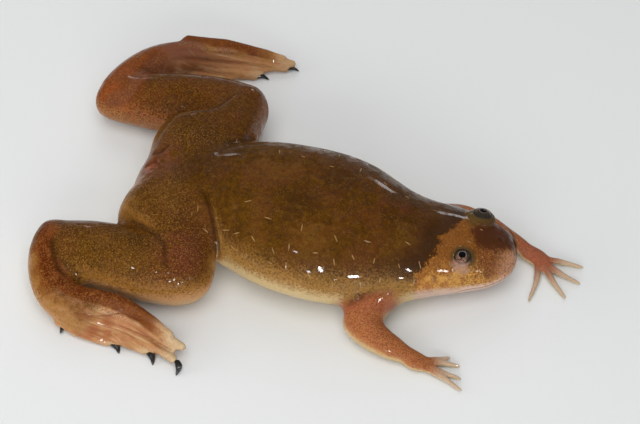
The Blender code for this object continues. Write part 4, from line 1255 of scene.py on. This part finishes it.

    # All parts over one another, then painted shade in the folds, mouth slit and nostrils, and the skin round
    # the eyes
    eye, below = mark("eye"), mark("below_eye")
    halo = rise(eye + flecked * 0.35, 1.7, 1.25) * rise(below, 1.0, 0.4)
    moist = rise(eye + flecked * 0.5 + mottled * 0.5, 1.85, 1.3) * rise(below, 0.8, 1.2)
    mound = rise(eye + mottled * 0.9, 2.5, 1.7) * rise(side, -1.5, 0.2) * rise(face_side, 0.5, -0.3)
    colour = f.layers(
        trunk,
        (rise(arm + mottled * 0.3 + flecked * 0.2, 0.2, 0.6), arms),
        (mark("armpit") * 0.8, s.armpit),
        (rise(foot + heel + mottled * 0.4 + flecked * 0.3, 0.3, 0.95), feet),
        (edge * 0.92, mix(far * 0.6, ridge, s.far_foot)),
        (edge * rise(dots, 0.51, 0.63) * 0.7, s.leg_ochre_and_edge_glow),
        (ahead, head),
        (behind * 0.8, s.nape),
        # Painted shade in the folds, in the dark speckle colour
        (mark("crease") * 0.6 * (1.0 - arm), s.dark_speckle_and_shade),
        # Painted shade along the mouth slit, in the face's brown
        (f.stripe(mark("mouth"), -0.02, 0.1) * rise(along, 15.4, 16.6) * 0.7, s.face),
        # Painted shade in the nostril pits, in the dark speckle colour
        (rise(mark("nostril"), 0.24, 0.12), s.dark_speckle_and_shade),
        (halo * 0.75, s.eye_skin),
        (moist * 0.65, s.lid),
        (mound * 0.75, s.eye_skin),
    )

    # Relief, gloss and the wet film
    grain = f.bump(f.cells(3.6), 0.035, f.bump(streaks * clear * foot, 0.12))
    normal = f.bump(f.noise(1.1, 3.0, 0.55) + f.noise(0.45, 1.0) * 1.6, 0.085, grain)
    film = (0.15 + 0.85 * rise(mottle + patchy * 0.8, 0.4, 0.58)) * s.wetness
    return f.feed(Base_Color=colour, Roughness=0.28 + 0.2 * fleck, Normal=normal, IOR=1.36,
                  Coat_Weight=film, Coat_Roughness=0.05, Coat_IOR=1.33, Specular_IOR_Level=0.06)


def eye_finish(settings):
    """Round black pupil in a thin pale ring, streaked bronze iris on the outer side, dark upper rim."""
    f, rim = Finish("frog eye"), settings.eye_rim
    off, outward, aside = f.mark("off_axis"), f.mark("round_axis"), f.mark("side_axis")
    wiggle = (f.noise(5.0, 2.0) - 0.5) * 0.08
    streaks = f.rise(f.noise(7.0, 3.0, 0.7), 0.42, 0.6)
    near = 0.3 + 0.35 * f.rise(f.axis(1), 0.0, -2.0)
    ring = f.stripe(off + wiggle * 0.5, 0.44, 0.06) * f.rise(outward, 0.4, -0.1) * near
    colour = f.layers(
        f.mix(streaks, settings.iris, rim),
        (f.rise(outward + wiggle, 0.2, -0.1), rim),
        (f.rise(aside + wiggle, 0.42, 0.66), f.mix(streaks, settings.eye_skin, rim)),
        (f.rise(off + wiggle, 0.62, 0.86) * f.rise(outward, 0.75, 0.4), rim),
        (ring, settings.eye_ring),
        (f.rise(off, 0.385, 0.365), PUPIL),
    )
    return f.feed(Base_Color=colour, Roughness=0.2, IOR=1.36, Specular_IOR_Level=0.15, Coat_Weight=0.4,
                  Coat_Roughness=0.02, Coat_IOR=1.36)


def lid_finish(settings):
    """Pale moist lower lid with faint darker mottling, brown along the upper rim."""
    f = Finish("moist eyelid")
    mottle = f.noise(4.0, 2.0, 0.6)
    colour = f.mix(f.rise(mottle, 0.4, 0.65) * 0.5, settings.lid, settings.band)
    upper = f.rise(f.mark("lower") + (mottle - 0.5) * 0.3, 0.95, 0.55)
    colour = f.mix(upper, colour, settings.eye_rim)
    return f.feed(Base_Color=colour, Roughness=0.3, Specular_IOR_Level=0.1, Coat_Weight=0.35,
                  Coat_Roughness=0.05, Coat_IOR=1.36)


def claw_finish(settings):
    """Hard black horn with faint lengthwise wear."""
    f = Finish("black horn")
    wear = f.noise(3.0, 3.0, 0.6)
    colour = f.mix(f.rise(wear, 0.5, 0.75) * 0.5, settings.claw, CLAW_WEAR)
    return f.feed(Base_Color=colour, Roughness=0.18 + 0.2 * wear, Normal=f.bump(wear, 0.02), Coat_Weight=0.3)


def stitch_finish(settings):
    """Pale raised sense organs, golden and a little uneven."""
    f = Finish("pale stitch")
    mottle = f.noise(3.0, 2.0)
    colour = f.mix(f.rise(mottle, 0.4, 0.65), settings.stitch, settings.gold)
    return f.feed(Base_Color=colour, Roughness=0.3, Coat_Weight=settings.wetness, Coat_Roughness=0.07)


def dress(piece, material, slot, *nodes):
    """Gives a piece its finish and body, and hides the solids that it stands for; the slot is not used."""
    piece.data.materials.clear()
    piece.data.materials.append(material)
    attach(piece, "root")
    if nodes:
        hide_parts(*nodes)


def flesh_nodes():
    """Names of all the solids of flesh."""
    return [n for n in sorted(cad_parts) if not n.startswith(("eye", "claw"))]


class FROG_OT_skin(bpy.types.Operator):
    """Build the one skin that covers trunk, head, limbs, webs and fingers"""

    bl_idname = "frog.skin"
    bl_label = "Skin"

    def execute(self, context):
        settings = context.scene.frog
        dress(make_skin(settings), skin_finish(settings), "skin", *flesh_nodes())
        return {"FINISHED"}


class FROG_OT_eyes(bpy.types.Operator):
    """Build both eyes with their lids"""

    bl_idname = "frog.eyes"
    bl_label = "Eyes and lids"

    def execute(self, context):
        settings = context.scene.frog
        ball_look, lid_look = eye_finish(settings), lid_finish(settings)
        for side in SIDES:
            centre, radius = eye_place(side)
            way = unit(GAZE[side])
            ball = mesh_object("eyeball_" + side, [tube(ball_rings(centre, radius, radius, way, *EYE_GRID))])
            away = read_points(ball.data) / MM - centre
            outer = unit(np.array((0.0, sign(side), 0.0)) - way * way[1] * sign(side))
            off = np.linalg.norm(away - (away @ way)[:, None] * way, axis=1)
            off = np.where(away @ way > 0, off, radius)
            aside = np.abs(away @ np.cross(way, outer))
            write_fields(ball.data, {"off_axis": off, "round_axis": away @ outer, "side_axis": aside})
            dress(ball, ball_look, "eye", "eye_" + side)
            dress(self.lid(side, centre, radius, way, outer), lid_look, "skin")
        return {"FINISHED"}

    def lid(self, side, centre, radius, way, outer):
        """Ring round the eye's opening, thin above and a thick soft crescent on the outer side."""
        count, around = LID_GRID
        turn = circle(count)
        lower = 0.5 + 0.5 * np.cos(turn)
        thick = LID_RADII[0] + (LID_RADII[1] - LID_RADII[0]) * lower ** 1.5
        lean = np.radians(LID_OPENING + LID_LEAN[0] + LID_LEAN[1] * lower)
        ring = spokes(turn, outer, np.cross(way, outer))
        out = np.sin(lean)[:, None] * ring + np.cos(lean)[:, None] * way
        flat = np.cos(lean)[:, None] * ring - np.sin(lean)[:, None] * way
        middle = centre + out * (radius + LID_LIFT)
        bend = circle(around)
        thick = thick[:, None, None]
        rings = (middle[:, None] + out[:, None] * (np.cos(bend)[:, None] * thick * LID_FLATNESS)
                 + flat[:, None] * (np.sin(bend)[:, None] * thick))
        walls = walls_between(count, around, count)
        lid = mesh_object("eyelid_" + side, [(rings.reshape(-1, 3), walls, NO_TRIANGLES)])
        write_fields(lid.data, {"lower": np.repeat(lower, around)})
        return lid


class FROG_OT_claws(bpy.types.Operator):
    """Build the black claws of the hind feet"""

    bl_idname = "frog.claws"
    bl_label = "Claws"

    def execute(self, context):
        look = claw_finish(context.scene.frog)
        for side in SIDES:
            bases = [SPURS[side][1]] + [toe[2] for toe in TOES[side][:3]]
            for n, (base, way, length) in enumerate(zip(bases, CLAW_WAYS[side], CLAW_LENGTHS)):
                length, thick = length * CLAW_SHARE[side], CLAW_RADIUS[side]
                piece = self.claw(f"horn_claw_{side}_{n}", base, way, length, thick)
                dress(piece, look, "claw", f"claw_{side}_{n}")
        return {"FINISHED"}

    def claw(self, name, base, way, length, thick):
        """Horn whose path bows sideways, root in the toe, its radius full before it falls to the tip."""
        way = unit(way)
        one = unit(np.cross(way, (0.0, 0.0, 1.0)))
        bow = -one if one[1] > 0 else one
        count, around = CLAW_GRID
        f = np.linspace(0.0, 1.0, count)[:, None]
        reach = length + CLAW_GAP + CLAW_ROOT
        drop = np.array((0.0, 0.0, -CLAW_DROP))
        path = np.array(base) - way * CLAW_ROOT + way * reach * f + drop * f * f
        path = path - bow * CLAW_BOW * np.sin(np.pi * f) * (1.0 - 0.3 * f)
        full = 0.8 + 0.2 * np.sin(np.pi * np.minimum(f * 1.6, 1.0))
        radius = thick * (1.0 - f ** 3.2) ** 0.8 * full + 0.015
        rings = path[:, None] + spokes(circle(around), one, np.cross(way, one)) * radius[:, :, None]
        return mesh_object(name, [tube(above_floor(rings))])


class FROG_OT_stitches(bpy.types.Operator):
    """Build the rows of pale stitch-like sense organs along the back and sides"""

    bl_idname = "frog.stitches"
    bl_label = "Stitches"

    def execute(self, context):
        settings = context.scene.frog
        skin = bpy.data.objects["skin"]
        points, normals = read_points(skin.data) / MM, read_normals(skin.data)
        shells, draw = [], np.random.default_rng(STITCH_SEED)
        for first, last, spread, count in STITCH_ROWS:
            for way in (-1.0, 1.0):
                where = np.linspace(first, last, count) + draw.uniform(-0.008, 0.008, count)
                turn = np.radians(90.0 - way * (spread + draw.uniform(-5.0, 5.0, count)))
                spots = np.stack([trunk_points(where[n:n + 1], turn[n:n + 1])[0, 0] for n in range(count)])
                heading = draw.uniform(-0.5, 0.5, count) + np.where(draw.random(count) < 0.6, 1.2, 0.1)
                long = settings.stitch_length / MM * draw.uniform(0.6, 1.15, count)
                shells += [self.stitch(points, normals, *row) for row in zip(spots, heading, long)]
        for side in SIDES:
            centre = eye_place(side)[0]
            turn = np.linspace(*EYE_STITCH_ARC, EYE_STITCHES) + draw.uniform(-8.0, 8.0, EYE_STITCHES)
            turn = np.radians(turn)
            away, drop = EYE_STITCH_PLACE
            ring = np.stack([np.sin(turn), sign(side) * np.cos(turn), turn * 0.0 + drop], 1) * away
            shells += [self.stitch(points, normals, centre + spot, heading, EYE_STITCH_LENGTH)
                       for spot, heading in zip(ring, turn * sign(side))]
        dress(mesh_object("sense_stitches", shells), stitch_finish(settings), "skin")
        return {"FINISHED"}

    def stitch(self, points, normals, spot, heading, long):
        """Low ridge on the skin: a half-sunk spindle along its heading, each ring at the nearest point."""
        near = np.argmin(((points - spot) ** 2).sum(1))
        up = normals[near]
        run = unit(np.cross(up, (np.sin(heading), np.cos(heading), 0.0)))
        side = np.cross(up, run)
        count, around = STITCH_GRID
        f = np.linspace(-1.0, 1.0, count)
        middle = points[near] + run * (f * long / 2)[:, None]
        nearby = points[gap_to(points, points[near]) < STITCH_NEAR]
        drop = nearby[np.argmin(((middle[:, None] - nearby) ** 2).sum(2), axis=1)]
        middle += up * ((drop - middle) @ up)[:, None]
        size = STITCH_HALF * np.sqrt(np.clip(1.0 - f * f, 0.0, 1.0)) + STITCH_LEAST
        turn = circle(around)
        ring = np.cos(turn)[:, None] * side + np.sin(turn)[:, None] * up * STITCH_FLATNESS
        return tube(middle[:, None] + ring * size[:, None, None])


class FROG_OT_stage(bpy.types.Operator):
    """Set up the pale floor, the soft lights and the camera"""

    bl_idname = "frog.stage"
    bl_label = "Studio"

    def execute(self, context):
        settings = context.scene.frog
        floor = mesh_object("studio_floor", [self.floor()])
        f = Finish("plain pale floor")
        darker = tuple(FLOOR_MOTTLE * c for c in settings.floor)
        tone = f.mix(f.noise(0.02, 2.0) * 0.2, settings.floor, darker)
        floor.data.materials.append(f.feed(Base_Color=tone, Roughness=0.55, Specular_IOR_Level=0.2))
        world = context.scene.world or bpy.data.worlds.new("studio")
        context.scene.world = world
        world.use_nodes = True
        shade = world.node_tree.nodes["Background"]
        shade.inputs["Color"].default_value = SKY_COLOUR
        shade.inputs["Strength"].default_value = settings.sky
        for name, place, size, setting, share in SOFTBOXES:
            self.light(name, place, size, getattr(settings, setting) * share, "DIFFUSE")
        for n, (place, size, share) in enumerate(GLINTS):
            self.light(f"glint_light_{n}", place, size, settings.side_power * share, "GLOSS")
        for n, (place, size, share) in enumerate(RIMS):
            self.light(f"rim_light_{n}", place, size, settings.rim_power * share, "GLOSS")
        context.scene.camera = self.camera()
        context.scene.view_settings.view_transform = "Standard"
        context.scene.view_settings.look = "None"
        return {"FINISHED"}

    def camera(self):
        """Camera that looks at the frog from the photo's angle, a fixed distance away."""
        lift, turn = np.radians(CAMERA_LIFT), np.radians(CAMERA_TURN)
        back = np.array((np.sin(turn) * np.cos(lift), -np.cos(turn) * np.cos(lift), np.sin(lift)))
        lens = bpy.data.cameras.new("photo_camera")
        lens.sensor_width = SENSOR_WIDTH
        lens.lens = PIXELS_PER_MM * CAMERA_AWAY * SENSOR_WIDTH / PHOTO_WIDTH
        lens.clip_start, lens.clip_end = CLIP
        camera = placed("photo_camera", lens)
        camera.location = (np.array(CAMERA_AIM) + back * CAMERA_AWAY) * MM
        camera.rotation_euler = (np.pi / 2 - lift, 0.0, turn)
        return camera

    def floor(self):
        """Square plate that lies just under the frog."""
        x, y = np.meshgrid((-FLOOR_HALF, FLOOR_HALF), (-FLOOR_HALF, FLOOR_HALF))
        top = np.stack([x, y, x * 0.0], -1).reshape(-1, 3)
        points = np.vstack([top, top - (0.0, 0.0, FLOOR_THICK)])
        walls = ((0, 1, 3, 2), (4, 6, 7, 5), (0, 4, 5, 1), (1, 5, 7, 3), (3, 7, 6, 2), (2, 6, 4, 0))
        return points, np.array(walls), NO_TRIANGLES

    def light(self, name, place, size, power, part):
        """Soft light at a place in millimetres, turned to the frog, for even light or highlights alone."""
        lamp = bpy.data.lights.new(name, "AREA")
        lamp.shape = "RECTANGLE"
        lamp.size, lamp.size_y = size[0] * MM, size[1] * MM
        lamp.energy = power
        thing = placed(name, lamp)
        x, y, z = place
        thing.location = np.array(place) * MM
        thing.rotation_euler = (np.arctan2(np.hypot(x, y), z), 0.0, np.arctan2(x, -y))
        thing.visible_glossy = part == "GLOSS"
        thing.visible_diffuse = part == "DIFFUSE"


class FROG_PT_pieces(bpy.types.Panel):
    """Buttons and settings of the frog"""

    bl_label = "Clawed Frog"
    bl_idname = "FROG_PT_pieces"
    bl_space_type = "VIEW_3D"
    bl_region_type = "UI"
    bl_category = "Frog"

    def draw(self, context):
        for operator in OPERATORS:
            self.layout.operator(operator.bl_idname)
        for name in FrogSettings.__annotations__:
            self.layout.prop(context.scene.frog, name)


OPERATORS = (FROG_OT_skin, FROG_OT_eyes, FROG_OT_claws, FROG_OT_stitches, FROG_OT_stage)
CLASSES = (FrogSettings, *OPERATORS, FROG_PT_pieces)


def register():
    """Registers the settings, operators and panel."""
    for item in CLASSES:
        bpy.utils.register_class(item)
    bpy.types.Scene.frog = bpy.props.PointerProperty(type=FrogSettings)


def unregister():
    """Takes the settings, operators and panel away again."""
    del bpy.types.Scene.frog
    for item in reversed(CLASSES):
        bpy.utils.unregister_class(item)


def main():
    """Builds every piece in order."""
    register()
    bpy.ops.frog.skin()
    bpy.ops.frog.eyes()
    bpy.ops.frog.claws()
    bpy.ops.frog.stitches()
    bpy.ops.frog.stage()


if __name__ == "__main__":
    main()
